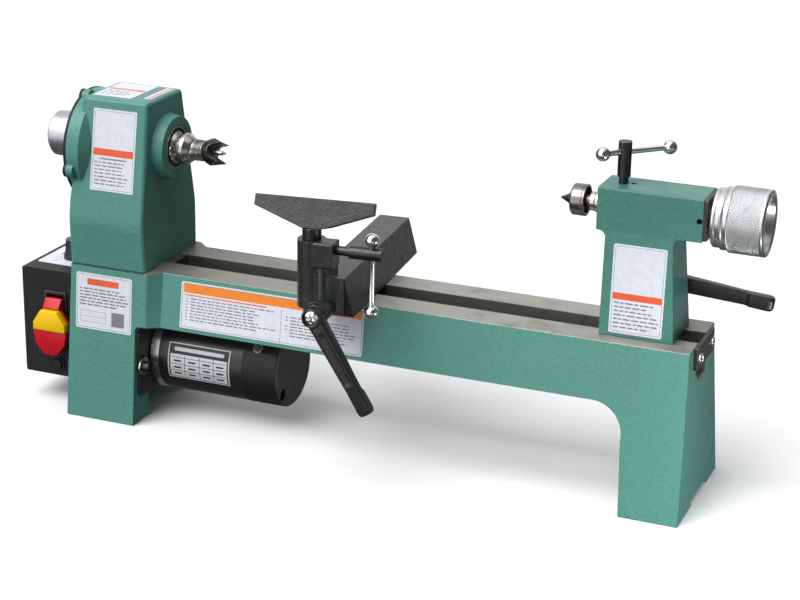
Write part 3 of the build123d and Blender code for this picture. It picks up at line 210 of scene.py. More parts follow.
def black_casting(name):
    """Wrinkled black enamel, chipped to bright iron along its edges."""
    s = Shade(name, (0.02, 0.02, 0.02), Specular_IOR_Level=0.5)
    wrinkle = s.noise(520, 4, 0.65)
    lumps = s.noise(70, 3, 0.55)
    base = s.mix(s.ramp(wrinkle, 0.3, 0.7), (0.009, 0.009, 0.009), (0.021, 0.021, 0.0205))
    base = s.mix(s.ramp(s.noise(25, 3), 0.5, 0.75, 0, 0.5), base, (0.034, 0.0335, 0.032))
    chip = s.math("MULTIPLY", s.edges(0.7, 0.3), s.ramp(s.noise(210, 5, 0.75), 0.53, 0.60))
    fleck = s.math("MULTIPLY", s.ramp(s.cells(300), 0.10, 0.06), s.ramp(s.noise(40, 2), 0.62, 0.70))
    bare = s.math("MAXIMUM", chip, s.math("MULTIPLY", fleck, 0.5))
    s.set("Base Color", s.mix(bare, base, (0.42, 0.41, 0.39)))
    s.set("Metallic", s.math("MULTIPLY", bare, 0.8))
    s.set("Roughness", s.ramp(wrinkle, 0.25, 0.75, 0.40, 0.27))
    s.relief((lumps, 0.6), (wrinkle, 0.24), bevel=0.8)
    return s.material


def steel(name, light, dark, rough=(0.22, 0.38), metallic=1.0, centre=None, depth=0.03, wear=0.0, groove=None,
          band=None):
    """Metal with turned or brushed lines, stains and rubbed edges.

    It darkens from the outer radius of groove down to the inner one, and is black outside the band of radii.
    """
    s = Shade(name, light, Metallic=metallic)
    if centre:
        lines = s.rings(2600, centre)
    else:
        lines = s.noise(420, 4, 0.6, stretch=(1, 1, 5))
    stain = s.noise(90, 4, 0.65)
    base = s.mix(s.ramp(lines, 0.25, 0.75), dark, light)
    base = s.mix(s.ramp(stain, 0.52, 0.75, 0, 0.45), base, tuple(0.55 * c for c in dark))
    if wear:
        rubbed = s.math("MULTIPLY", s.edges(0.6, 0.3), s.ramp(s.noise(260, 4, 0.7), 0.35, 0.6, 0, wear))
        base = s.mix(rubbed, base, (0.55, 0.54, 0.52))
    if groove:
        inside = s.ramp(s.radius(centre), groove[1] * MM, groove[0] * MM, 0.0, 0.8)
        grip = s.ramp(s.axes[0], (GRIP_LEFT - 0.4) * MM, (GRIP_LEFT + 0.2) * MM)
        outer = s.ramp(s.radius(centre), 0.0245, 0.0247)        # leaves the bore plain
        inside = s.math("MULTIPLY", inside, s.math("MULTIPLY", grip, outer))
        base = s.mix(inside, base, tuple(0.22 * c for c in dark))
    if band:
        low, high = (r * MM for r in band)
        reach = s.radius(centre)
        bright = s.math("MULTIPLY", s.ramp(reach, low - 0.0002, low), s.ramp(reach, high + 0.0002, high))
        base = s.mix(bright, (0.012, 0.011, 0.010), base)
    s.set("Base Color", base)
    s.set("Roughness", s.ramp(s.math("ADD", lines, s.math("MULTIPLY", stain, 0.6)), 0.45, 1.1, *rough))
    s.relief((lines, depth), (stain, depth), bevel=0.35)
    return s.material


def plastic(name, colour, other, rough=(0.3, 0.42), grain=700, depth=0.05, bevel=0.4, scuff=0.12, side=None,
            specular=0.3):
    """Moulded plastic or powder coat with a fine grain and a few scuffs; another colour left of side."""
    s = Shade(name, colour, Specular_IOR_Level=specular)
    fine = s.noise(grain, 3, 0.6)
    haze = s.noise(22, 4, 0.6)
    base = s.mix(s.ramp(s.math("ADD", fine, haze), 0.7, 1.35), colour, other)
    if side:
        base = s.mix(s.ramp(s.axes[0], side[0] * MM, (side[0] - 0.6) * MM), base, side[1])
    rub = s.math("MULTIPLY", s.edges(0.5, 0.3), s.ramp(s.noise(180, 3, 0.7), 0.45, 0.65, 0, scuff * 3))
    lighter = tuple(min(1.0, c * 2.2 + 0.05) for c in colour)
    s.set("Base Color", s.mix(rub, base, lighter))
    s.set("Roughness", s.ramp(s.math("ADD", fine, haze), 0.6, 1.4, *rough))
    s.relief((haze, depth * 2), (fine, depth), bevel=bevel)
    return s.material


def printed(name, colour, rough=0.34):
    """A flat printed colour with slight unevenness under a clear film."""
    s = Shade(name, colour, Coat_Weight=0.1, Coat_Roughness=0.25, Specular_IOR_Level=0.3)
    tone = s.noise(180, 4, 0.65)
    faded = tuple(0.90 * c for c in colour)
    s.set("Base Color", s.mix(s.ramp(tone, 0.3, 0.75), colour, faded))
    s.set("Roughness", s.ramp(s.noise(90, 3), 0.3, 0.7, rough - 0.05, rough + 0.08))
    s.relief((tone, 0.012), (s.noise(30, 2), 0.05))
    return s.material


def circuit_board(name):
    """Solder mask with lighter tracks."""
    s = Shade(name, (0.03, 0.15, 0.07), Roughness=0.4)
    tracks = s.cells(260, "DISTANCE_TO_EDGE")
    s.set("Base Color", s.mix(s.ramp(tracks, 0.02, 0.05), (0.10, 0.32, 0.14), (0.02, 0.11, 0.05)))
    s.set("Roughness", s.ramp(s.noise(400), 0.3, 0.7, 0.3, 0.5))
    s.relief((tracks, 0.05))
    return s.material


def ribbed_rubber(name):
    """Black rubber with ribs along X and some dust."""
    s = Shade(name, (0.018, 0.018, 0.018))
    dust = s.noise(120, 4, 0.7)
    ribs = s.node("ShaderNodeTexWave", {"Vector": s.place, "Scale": 210.0, "Distortion": 0.0},
                  bands_direction="X").outputs["Fac"]
    s.set("Base Color", s.mix(s.ramp(dust, 0.45, 0.75), (0.014, 0.014, 0.014), (0.05, 0.047, 0.043)))
    s.set("Roughness", s.ramp(dust, 0.3, 0.7, 0.5, 0.75))
    s.relief((ribs, 0.25), (dust, 0.06), bevel=0.3)
    return s.material


spindle_axis, motor_axis = (0, SPINDLE_Z), (0, MOTOR_Z)
LOOK = {
    "green_paint": green_paint("green_enamel"),
    "bed_paint": green_paint("green_enamel_ground_top", ground=True),
    "black_casting": black_casting("black_wrinkle_enamel"),
    # the tailstock's enamel is darkened by tone 0.8: painted shade, for the light falling off towards the
    # right
    "tail_paint_painted_shade": green_paint("green_enamel_tailstock_painted_shade", tone=0.8),
    "end_plate": steel("blackened_plate", (0.085, 0.082, 0.078), (0.04, 0.039, 0.037), (0.34, 0.5),
                       metallic=0.6, depth=0.04, wear=0.5),
    "bright_steel": steel("polished_nickel", (0.86, 0.855, 0.84), (0.78, 0.775, 0.76), (0.05, 0.13),
                          depth=0.006),
    "machined_steel": steel("turned_steel", (0.66, 0.63, 0.59), (0.46, 0.43, 0.39), (0.16, 0.32),
                            centre=spindle_axis, depth=0.03),
    "dark_steel": steel("oiled_black_steel", (0.075, 0.072, 0.068), (0.032, 0.030, 0.028), (0.26, 0.44),
                        metallic=0.85, depth=0.05, wear=0.6),
    "centre_steel": steel("ground_dark_steel", (0.33, 0.31, 0.29), (0.13, 0.12, 0.11), (0.18, 0.34),
                          centre=spindle_axis, depth=0.04, wear=0.6),
    "nose_steel": steel("polished_collar_steel", (0.52, 0.50, 0.47), (0.38, 0.36, 0.33), (0.16, 0.30),
                        centre=spindle_axis, depth=0.012),
    "crown_steel": steel("burnt_black_steel", (0.085, 0.083, 0.080), (0.038, 0.037, 0.035), (0.26, 0.42),
                         metallic=0.9, centre=spindle_axis, depth=0.03, wear=0.9),
    "ring_steel": steel("bearing_steel", (0.72, 0.70, 0.67), (0.52, 0.50, 0.47), (0.16, 0.3),
                        centre=spindle_axis, depth=0.02, band=(17.9, 19.2)),
    "aluminium": steel("satin_aluminium", (0.58, 0.595, 0.61), (0.47, 0.48, 0.495), (0.34, 0.50),
                       centre=spindle_axis, depth=0.035),
    "motor_aluminium": steel("turned_alloy_ring", (0.82, 0.81, 0.79), (0.60, 0.59, 0.57), (0.22, 0.38),
                             centre=motor_axis, depth=0.06),
    "motor_black": plastic("satin_black_enamel", (0.009, 0.009, 0.011), (0.014, 0.014, 0.016), (0.30, 0.42),
                           grain=500, depth=0.05, bevel=0.5, specular=0.5),
    "motor_end": plastic("cast_black_end", (0.060, 0.058, 0.053), (0.105, 0.101, 0.092), (0.42, 0.6),
                         grain=260, depth=0.10, bevel=0.6, side=(-88.2, (0.011, 0.011, 0.013))),
    "zinc": steel("zinc_plate", (0.74, 0.74, 0.72), (0.52, 0.52, 0.50), (0.2, 0.4), depth=0.03),
    "black_plastic": plastic("moulded_black", (0.010, 0.010, 0.010), (0.018, 0.018, 0.017), (0.24, 0.38),
                             grain=600, depth=0.07, bevel=0.5, specular=0.5),
    "box_black": plastic("black_powder_coat", (0.011, 0.0105, 0.0115), (0.017, 0.016, 0.0175), (0.46, 0.58),
                         grain=650, depth=0.10, bevel=0.6),
    "knurled_aluminium": steel("knurled_aluminium", (0.72, 0.735, 0.75), (0.56, 0.57, 0.585), (0.22, 0.36),
                               centre=spindle_axis, depth=0.03, groove=(26.55, 27.15)),
    "scale_white": printed("printed_white", (0.70, 0.72, 0.77)),
    "red_plastic": plastic("moulded_red", (0.60, 0.008, 0.018), (0.52, 0.007, 0.015), (0.34, 0.48),
                           depth=0.03, scuff=0.03),
    "yellow_plastic": plastic("moulded_yellow", (0.88, 0.53, 0.002), (0.80, 0.47, 0.002), (0.34, 0.48),
                              depth=0.03, scuff=0.03),
    "rubber": ribbed_rubber("ribbed_rubber"),
    "seal": plastic("bearing_seal", (0.020, 0.016, 0.015), (0.034, 0.024, 0.022), (0.35, 0.5), depth=0.04),
    "board": circuit_board("green_board"),
    "print_white": printed("label_white", (0.66, 0.69, 0.77)),
    "print_orange": printed("label_orange", (0.80, 0.215, 0.012)),
    "print_red": printed("label_red", (0.74, 0.105, 0.028)),
    "print_grey": printed("label_grey", (0.20, 0.20, 0.21)),
    "print_black": printed("label_black", (0.018, 0.018, 0.019)),
    "print_silver": printed("label_silver", (0.62, 0.64, 0.66)),
}

special_looks = {
    "bed_casting": "bed_paint",
    "motor_flange": "motor_aluminium",
    "motor_end_bell": "motor_end",
    "bearing_seals": "seal",
    "bearing_outer_rings": "ring_steel",
    "tailstock_casting": "tail_paint_painted_shade",
}
for node_name, cad_object in nodes.items():
    look = LOOK[special_looks.get(node_name, node_slots[node_name])]
    for material_slot in cad_object.material_slots:
        material_slot.material = look


# ---- mesh building ------------------------------------------------------------------------
def piece(name, bm, look, body, replaces=(), sharp=32):
    """Make a bmesh, drawn in millimetres, into a smooth-shaded piece that rides on a body."""
    bmesh.ops.recalc_face_normals(bm, faces=bm.faces)
    bm.transform(Matrix.Scale(MM, 4))
    mesh = bpy.data.meshes.new(name)
    bm.to_mesh(mesh)
    bm.free()
    for polygon in mesh.polygons:
        polygon.use_smooth = True
    mesh.set_sharp_from_angle(angle=math.radians(sharp))
    return finish(name, mesh, look, body, replaces)


def finish(name, mesh, look, body, replaces=()):
    """Dress a mesh, hang it on a body and hide the CAD pieces it stands in for."""
    mesh.materials.clear()
    mesh.materials.append(LOOK[look])
    made = bpy.data.objects.new(name, mesh)
    bpy.context.scene.collection.objects.link(made)
    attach(made, body)
    if replaces:
        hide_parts(*replaces)
    return made


def frame_matrix(origin, along):
    """Local X runs along, local Z as near to up as it can be."""
    x = Vector(along).normalized()
    up = Vector((1, 0, 0)) if abs(x.z) > 0.95 else Vector((0, 0, 1))
    y = up.cross(x).normalized()
    z = x.cross(y)
    return Matrix.Translation(Vector(origin)) @ Matrix((x, y, z)).transposed().to_4x4()


def revolve(bm, profile, place, segments=96, radius_at=None, x_at=None):
    """Turn (x, radius) points about local X. Points on the axis become single vertices."""
    rings = []
    for x, r in profile:
        if r < 1e-6:
            rings.append([bm.verts.new(place @ Vector((x, 0, 0)))])
            continue
        ring = []
        for k in range(segments):
            a = 2 * math.pi * k / segments
            rr = radius_at(x, r, a) if radius_at else r
            xx = x_at(x, r, a) if x_at else x
            ring.append(bm.verts.new(place @ Vector((xx, rr * math.cos(a), rr * math.sin(a)))))
        rings.append(ring)
    loop = list(zip(rings, rings[1:]))
    if profile[0][1] > 1e-6 and profile[-1][1] > 1e-6:
        loop.append((rings[-1], rings[0]))
    for a, b in loop:
        for k in range(segments):
            k2 = (k + 1) % segments
            if len(a) == 1:
                bm.faces.new((a[0], b[k], b[k2]))
            elif len(b) == 1:
                bm.faces.new((a[k], b[0], a[k2]))
            else:
                bm.faces.new((a[k], b[k], b[k2], a[k2]))


def arc(cx, cr, radius, start, end, steps):
    """(x, r) points of an arc, angles in degrees from +X towards +r."""
    out = []
    for k in range(steps + 1):
        a = math.radians(start + (end - start) * k / steps)
        out.append((cx + radius * math.cos(a), max(0.0, cr + radius * math.sin(a))))
    return out


def rounded_outline(w, h, r, steps=6):
    """Corner-rounded rectangle centred on the origin, anticlockwise."""
    points = []
    for cx, cy, start in ((1, 1, 0), (-1, 1, 90), (-1, -1, 180), (1, -1, 270)):
        for k in range(steps + 1):
            a = math.radians(start + 90 * k / steps)
            points.append((cx * (w / 2 - r) + r * math.cos(a), cy * (h / 2 - r) + r * math.sin(a)))
    return points


def slab(bm, outline, z0, z1, surface, cuts=0, hole=None):
    """A thin plate of the given outline between heights z0 and z1 over surface(u, v, height)."""
    part = bmesh.new()
    loops = [outline] + ([hole] if hole else [])
    edges = []
    for loop in loops:
        verts = [part.verts.new((u, v, z0)) for u, v in loop]
        edges += [part.edges.new((a, b)) for a, b in zip(verts, verts[1:] + verts[:1])]
    if hole:
        bmesh.ops.bridge_loops(part, edges=edges)
    else:
        bmesh.ops.contextual_create(part, geom=edges)
    top = bmesh.ops.extrude_face_region(part, geom=part.faces[:])
    raised = [v for v in top["geom"] if isinstance(v, bmesh.types.BMVert)]
    bmesh.ops.translate(part, vec=(0, 0, z1 - z0), verts=raised)
    if cuts:
        low, high = min(v for _, v in outline), max(v for _, v in outline)
        for k in range(1, cuts):
            at = low + (high - low) * k / cuts
            geom = part.verts[:] + part.edges[:] + part.faces[:]
            bmesh.ops.bisect_plane(part, geom=geom, plane_co=(0, at, 0), plane_no=(0, 1, 0))
    for v in part.verts:
        v.co = surface(*v.co)
    bmesh.ops.recalc_face_normals(part, faces=part.faces)
    copy_into(bm, part)


def copy_into(bm, part):
    """Add the part's mesh to bm and free the part."""
    temporary = bpy.data.meshes.new("temporary")
    part.to_mesh(temporary)
    part.free()
    bm.from_mesh(temporary)
    bpy.data.meshes.remove(temporary)


def flat_surface(centre, right, up):
    """A flat face: centre point, direction of u and direction of v."""
    c, x, y = Vector(centre), Vector(right).normalized(), Vector(up).normalized()
    n = x.cross(y)
    return lambda u, v, h: c + x * u + y * v + n * h


def drum_surface(centre, radius):
    """The side of a drum along X that faces the operator; v runs round it, upwards."""
    def at(u, v, h):
        a = v / radius
        r = radius + h
        return Vector((centre[0] + u, -r * math.cos(a), centre[1] + r * math.sin(a)))
    return at


def plate(name, surface, w, h, body="bed", corner=1.5, thick=0.25, border=None, bands=(), lines=(), cuts=0,
          look="print_white", line_look="print_grey"):
    """A generic unlettered plate: a thin sheet, a border line, plain colour bands and plain bars."""
    bm = bmesh.new()
    slab(bm, rounded_outline(w, h, corner), -0.4, thick, surface, cuts)
    piece(name, bm, look, body)
    top = thick + 0.04
    if border:
        inset, width = border
        outer = rounded_outline(w - 2 * inset, h - 2 * inset, corner)
        inner = rounded_outline(w - 2 * inset - 2 * width, h - 2 * inset - 2 * width, max(0.2, corner - width))
        bm = bmesh.new()
        slab(bm, outer, thick - 0.05, top, surface, cuts, hole=inner)
        piece(name + "_border", bm, line_look, body)
    for index, (u, v, bw, bh, band_look) in enumerate(bands):
        bm = bmesh.new()
        outline = [(x + u, y + v) for x, y in rounded_outline(bw, bh, min(0.6, bh / 3))]
        slab(bm, outline, thick - 0.05, top, surface, cuts)
        piece(f"{name}_band_{index}", bm, band_look, body)
    if lines:
        bm = bmesh.new()
        for u, v, lw, lh in lines:
            outline = [(x + u, y + v) for x, y in rounded_outline(lw, lh, min(lw, lh) / 3, 2)]
            slab(bm, outline, thick - 0.05, top, surface, cuts if lh > 4 else 0)
        piece(name + "_rules", bm, line_look, body)


def rows(left, width, top, pitch, count, height, chance):
    """Plain bars in ragged rows, the way a block of print looks from far off."""
    bars = []
    for k in range(count):
        u, end = left, left + width * chance.uniform(0.72, 1.0)
        while u < end - 1.2:
            length = min(chance.uniform(2.0, 7.5), end - u)
            bars.append((u + length / 2, top - k * pitch, length, height))
            u += length + chance.uniform(0.9, 1.3)
    return bars


def cross_screw(name, centre, axis, radius, height, body, replaces=(), extra=()):
    """Domed screw heads with a cross recess; extra gives more heads as (centre, axis)."""
    bm = bmesh.new()
    for where, out in ((centre, axis), *extra):
        place = frame_matrix(where, out)
        arm, half = 0.62 * radius, 0.115 * radius
        rings, segments = 30, 96
        grid = []
        for i in range(rings + 1):
            r = radius * i / rings
            row = []
            for k in range(segments if i else 1):
                a = 2 * math.pi * k / segments + math.pi / 7
                y, z = r * math.cos(a), r * math.sin(a)
                top = height * (1 - 0.38 * (r / radius) ** 2.4)
                if i == rings:
                    top = height * 0.45
                across, along = sorted((abs(y), abs(z)))
                if across < half * 1.6 and along < arm:
                    side = min(1, max(0, (half * 1.6 - across) / (half * 0.7)))
                    end = min(1, max(0, (arm - along) / (0.12 * radius)))
                    top -= 0.5 * height * side * end
                row.append(bm.verts.new(place @ Vector((top, y, z))))
            grid.append(row)
        angles = [2 * math.pi * k / segments + math.pi / 7 for k in range(segments)]
        base = [bm.verts.new(place @ Vector((0, radius * math.cos(a), radius * math.sin(a)))) for a in angles]
        grid.append(base)
        for i, (a, b) in enumerate(zip(grid, grid[1:])):
            for k in range(segments):
                k2 = (k + 1) % segments
                if len(a) == 1:
                    bm.faces.new((a[0], b[k], b[k2]))
                else:
                    bm.faces.new((a[k], b[k], b[k2], a[k2]))
        bm.faces.new(list(reversed(base)))
    return piece(name, bm, "bright_steel", body, replaces, sharp=40)


# ---- levers, sliding bars -------------------------------------------------------------------
def lever(name, hub, out, heading, reach, cant, body, replaces):
    """A moulded clamp lever: hub, tapering arm and a grip with three grooves along its face."""
    bm = bmesh.new()
    centre, out, along = Vector(hub), Vector(out).normalized(), Vector(heading).normalized()
    cant = math.radians(cant)
    arm = along * math.cos(cant) + out * math.sin(cant)
    face = out * math.cos(cant) - along * math.sin(cant)
    side = arm.cross(face)
    # distance along the arm, width, depth, how far it sits back, corner radius
    stations = (
        (0.03, 15.0, 12.0, 0.0, 3.2), (0.10, 14.4, 11.8, 0.0, 3.2), (0.40, 13.0, 10.8, 0.0, 2.6),
        (0.755, 11.4, 9.4, 0.0, 2.4), (0.775, 11.4, 10.2, 0.4, 2.4), (0.80, 11.6, 12.0, 1.3, 2.6),
        (0.88, 11.9, 11.8, 1.2, 2.6), (0.95, 12.2, 11.6, 1.1, 2.6), (0.975, 11.8, 10.9, 1.1, 2.8),
        (0.993, 10.6, 9.2, 1.1, 3.0), (1.0, 8.6, 7.0, 1.1, 2.8),
    )

    def section(t):
        for a, b in zip(stations, stations[1:]):
            if t <= b[0] + 1e-9:
                k = (t - a[0]) / (b[0] - a[0])
                return [p + (q - p) * k for p, q in zip(a, b)]
        return list(stations[-1])

    ts = sorted({round(s[0], 4) for s in stations} | {0.03 + 0.97 * k / 90 for k in range(91)})
    loops = []
    for t in ts:
        _, w, d, back, r = section(t)
        points = []
        for k in range(37):                       # the face, densely, for the grooves
            points.append((d / 2, -(w / 2 - r) + (w - 2 * r) * k / 36))
        for k in range(1, 7):
            a = math.radians(90 * k / 6)
            points.append((d / 2 - r + r * math.cos(a), w / 2 - r + r * math.sin(a)))
        for k in range(7):
            a = math.radians(90 + 90 * k / 6)
            points.append((-d / 2 + r + r * math.cos(a), w / 2 - r + r * math.sin(a)))
        for k in range(7):
            a = math.radians(180 + 90 * k / 6)
            points.append((-d / 2 + r + r * math.cos(a), -w / 2 + r + r * math.sin(a)))
        for k in range(6):
            a = math.radians(270 + 90 * k / 6)
            points.append((d / 2 - r + r * math.cos(a), -w / 2 + r + r * math.sin(a)))
        loop = []
        for f, s in points:
            depth = 0.0
            if f > d / 2 - 0.6 and t > 0.70:
                fade = min(1, (t - 0.70) / 0.05) * min(1, max(0, (0.985 - t) / 0.02))
                for groove in (-2.6, 0.0, 2.6):
                    depth = max(depth, 1.0 - (abs(s - groove) / 0.85) ** 2)
                depth = 0.9 * max(0.0, depth) * fade
            # a shallow hollow runs down the face of the arm
            if f > d / 2 - 0.6 and 0.16 < t < 0.70:
                fade = min(1, (t - 0.16) / 0.05) * min(1, (0.70 - t) / 0.03)
                depth = max(depth, 0.55 * fade * max(0.0, 1 - (abs(s) / (w / 2 - r)) ** 4))
            centre_line = centre + arm * reach * t - face * back
            loop.append(bm.verts.new(centre_line + face * (f - depth) + side * s))
        loops.append(loop)
    for a, b in zip(loops, loops[1:]):
        for k in range(len(a)):
            k2 = (k + 1) % len(a)
            bm.faces.new((a[k], b[k], b[k2], a[k2]))
    bm.faces.new(loops[0])
    bm.faces.new(loops[-1])
    place = frame_matrix(centre, out)
    hub_profile = [(-5.5, 5.1), (-5.5, 9.0), (-4.9, 9.6), (-0.6, 9.6), (0.2, 9.1), (0.6, 8.7), (6.4, 8.45)]
    hub_profile += arc(6.5, 7.5, 0.9, 70, 20, 4) + [(7.4, 7.1), (6.9, 6.75), (3.5, 6.7), (3.5, 5.1)]
    revolve(bm, hub_profile, place, 96)
    return piece(name, bm, "black_plastic", body, replaces, sharp=38)


def t_bar(name, start, direction, span, body, replaces):
    """A round bar with a ball on each end."""
    bm = bmesh.new()
    ball, bar = 6.0, 2.4
    profile = arc(0, 0, ball, 180, 24, 30) + [(5.6, bar)]
    profile += [(span - x, r) for x, r in reversed(profile)]
    revolve(bm, profile, frame_matrix(start, direction), 64)
    return piece(name, bm, "bright_steel", body, replaces, sharp=35)


swing = math.radians(5.1)
banjo_right = Vector((math.cos(swing), math.sin(swing), 0))
banjo_back = Vector((-math.sin(swing), math.cos(swing), 0))


def banjo_point(x, y, z):
    """A point given in the banjo's own swung frame."""
    return Vector((-25.6, 0, 0)) + banjo_right * x + banjo_back * y + Vector((0, 0, z))


drop = math.radians(32.7)
banjo_heading = banjo_right * math.sin(drop) + Vector((0, 0, -math.cos(drop)))
lever("banjo_lever", banjo_point(0, -113, 152), -banjo_back, banjo_heading, 92, 5, "banjo_lock",
      ["banjo_lock_lever"])
drop = math.radians(6.7)
lever("tailstock_lever", (231.5, 36, 175), (0, 1, 0), (math.cos(drop), 0, -math.sin(drop)), 98.5, 4,
      "tailstock_lock", ["tailstock_lock_lever"])
t_bar("rest_t_bar", banjo_point(43.8, -95, 216.1), (0, 0, -1), 61.8, "rest_bar", ["rest_clamp_bar"])
bar_turn = math.radians(45.6)
bar_heading = Vector((math.cos(bar_turn), math.sin(bar_turn), 0))
t_bar("quill_t_bar", Vector((208, 0, 289.5)) - bar_heading * 20.2, bar_heading, 61.8, "quill_bar",
      ["quill_lock_bar"])
cross_screw("lever_screw", banjo_point(0, -116.6, 152), -banjo_back, 6.3, 3.8, "banjo_lock",
            replaces=["banjo_lever_screw"])

# ---- end plate screws -----------------------------------------------------------------------
plate_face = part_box("bed_end_plate")[1].x / MM
cross_screw("end_plate_screws", (plate_face, -20.5, 131), (1, 0, 0), 4.5, 2.6, "bed",
            replaces=["bed_end_screws"], extra=[((plate_face, 20.5, 131), (1, 0, 0))])


# ---- tailstock handwheel with a diamond knurl -------------------------------------------------
def knurl(x, r, a):
    """Two crossing sets of ridges round the grip."""
    if r < 26.9 or not GRIP_LEFT < x < GRIP_RIGHT:
        return r
    fade = min(1, (x - GRIP_LEFT) / 0.5, (GRIP_RIGHT - x) / 0.5)
    pitch, count = 2.15, 80
    u = count * a / (2 * math.pi) + x / pitch
    v = count * a / (2 * math.pi) - x / pitch
    ridge = min(abs((u % 1) - 0.5), abs((v % 1) - 0.5)) * 2
    return r - 0.6 * fade * (1 - min(1, ridge * 1.5))


wheel_profile = [(283.9, 5.0), (283.9, 8.6), (284.3, 9.0), (285.5, 9.0), (285.5, 22.6), (285.8, 23.3),
                 (286.5, 24.2), (287.0, 24.4), (289.2, 24.4), (289.5, 24.15), (289.9, 24.15), (290.2, 24.4),
                 (292.3, 24.4), (292.6, 25.0), (293.0, 25.8), (295.4, 25.8), (295.7, 25.5), (296.1, 25.5),
                 (296.4, 25.8), (298.6, 25.8), (299.0, 26.4), (299.2, 26.95)]
wheel_profile += [(299.4 + 27.3 * k / 100, 27.2) for k in range(101)]
wheel_profile += [(327.0, 27.2), (328.2, 27.2), (328.8, 26.7), (329.0, 26.0), (329.0, 22.4), (328.7, 21.7),
                  (328.0, 21.0), (294.5, 21.0), (294.5, 5.0)]
bm = bmesh.new()
revolve(bm, wheel_profile, frame_matrix((0, 0, SPINDLE_Z), (1, 0, 0)), 480, knurl)
piece("tail_wheel_knurled", bm, "knurled_aluminium", "tail_wheel", ["tailstock_handwheel"],
      sharp=50)

# ---- spindle nose: collar with spanner holes, shoulder and thread ------------------------------
nose_left, nose_right, thread_pitch = -181.8, -172.8, 1.5875
collar_radius, spanner_hole = 12.6, 2.3


def nose_radius(x, r, a):
    """Sinks four holes into the collar and cuts the thread."""
    if r < 8.5:
        return r
    if x < -193.2 and r > 12.5:
        for k in range(4):
            off = (a - math.radians(11 + 90 * k) + math.pi) % (2 * math.pi) - math.pi
            gap = math.hypot(x + 197.3, off * collar_radius)
            r -= 2.6 * min(1, max(0, (spanner_hole - gap) / 0.3))
    if nose_left < x < nose_right:
        fade = min(1, (x - nose_left) / 1.2, (nose_right - x) / 1.2)
        phase = (x / thread_pitch + a / (2 * math.pi)) % 1
        r -= 0.95 * fade * abs(phase - 0.5) * 2
    return r


mesh = nodes["spindle"].data.copy()
for vertex in mesh.vertices:
    y, z = vertex.co.y, vertex.co.z - SPINDLE_Z * MM
    radius = math.hypot(y, z)
    if vertex.co.x > -0.2006 and radius > 0.0088:      # the turned nose below takes this room
        k = 0.0084 / radius
        vertex.co.y, vertex.co.z = y * k, SPINDLE_Z * MM + z * k
finish("spindle_shaft", mesh, "machined_steel", "spindle_unit", ["spindle"])
nose_profile = [(-201.0, 8.0), (-201.0, 12.2)] + [(-200.7 + 6.9 * k / 34, collar_radius) for k in range(35)]
nose_profile += [(-193.3, 12.2), (-193.0, 12.2), (-192.6, 13.6), (-192.2, 14.0), (-189.2, 14.0),
                 (-188.8, 13.8), (-185.0, 11.0), (-183.4, 9.9), (-182.9, 9.1), (-182.4, 9.1), (-182.0, 9.3)]
nose_profile += [(nose_left + (nose_right - nose_left) * k / 100, 9.5) for k in range(101)]
nose_profile += [(-172.4, 9.2), (-172.0, 8.8), (-172.0, 8.0)]
bm = bmesh.new()
revolve(bm, nose_profile, frame_matrix((0, 0, SPINDLE_Z), (1, 0, 0)), 192, nose_radius)
piece("spindle_nose", bm, "nose_steel", "spindle_unit", sharp=36)

# ---- four-pronged drive centre -------------------------------------------------------------------
crown_x, prong = -164.6, 11.0
crown_profile = [(-222, 0), (-222, 4.4), (-173.4, 6.0), (-173.4, 8.0), (-171.0, 8.0), (-170.6, 9.6),
                 (-168.8, 11.0), (-166.6, 11.8), (-165.2, 12.1), (crown_x, 12.2)]
front_radii = (12.05, 11.6, 10.9, 9.6, 8.0, 6.2, 4.4, 2.0, 0)
crown_profile += [(crown_x + 0.01 * (k + 1), r) for k, r in enumerate(front_radii)]


def crown_point(x, r, a):
    """How far a point of the crown's front stands out: four sharp prongs with hollows between."""
    if x < crown_x - 0.001:
        return x
    peak = 1 - abs(math.sin(2 * (a - math.radians(22)))) ** 0.55
    slope = min(1, max(0, (r - 3.4) / 7.4)) ** 1.15
    return crown_x + prong * peak * slope - 1.6 * (1 - peak) * slope


bm = bmesh.new()
revolve(bm, crown_profile, frame_matrix((0, 0, SPINDLE_Z), (1, 0, 0)), 240, x_at=crown_point)
piece("drive_crown", bm, "crown_steel", "spindle_unit", ["spur_centre"], sharp=40)

# ---- live centre ---------------------------------------------------------------------------------
centre_profile = [(155, 0), (164.2, 5.0), (165.4, 5.6), (166.0, 5.8), (166.5, 6.4), (166.5, 11.9),
                  (167.6, 13.1), (168.0, 13.2), (175.9, 13.2), (176.1, 12.9), (176.5, 12.9), (176.7, 13.2),
                  (178.3, 13.2), (178.6, 12.9), (178.6, 11.3), (178.3, 11.0), (173.6, 10.8), (173.6, 6.4),
                  (174.4, 5.4), (181.6, 5.0), (182.0, 4.6), (182.0, 0)]
bm = bmesh.new()
revolve(bm, centre_profile, frame_matrix((0, 0, SPINDLE_Z), (1, 0, 0)), 128)
piece("live_centre_turned", bm, "centre_steel", "centre", ["live_centre"], sharp=34)


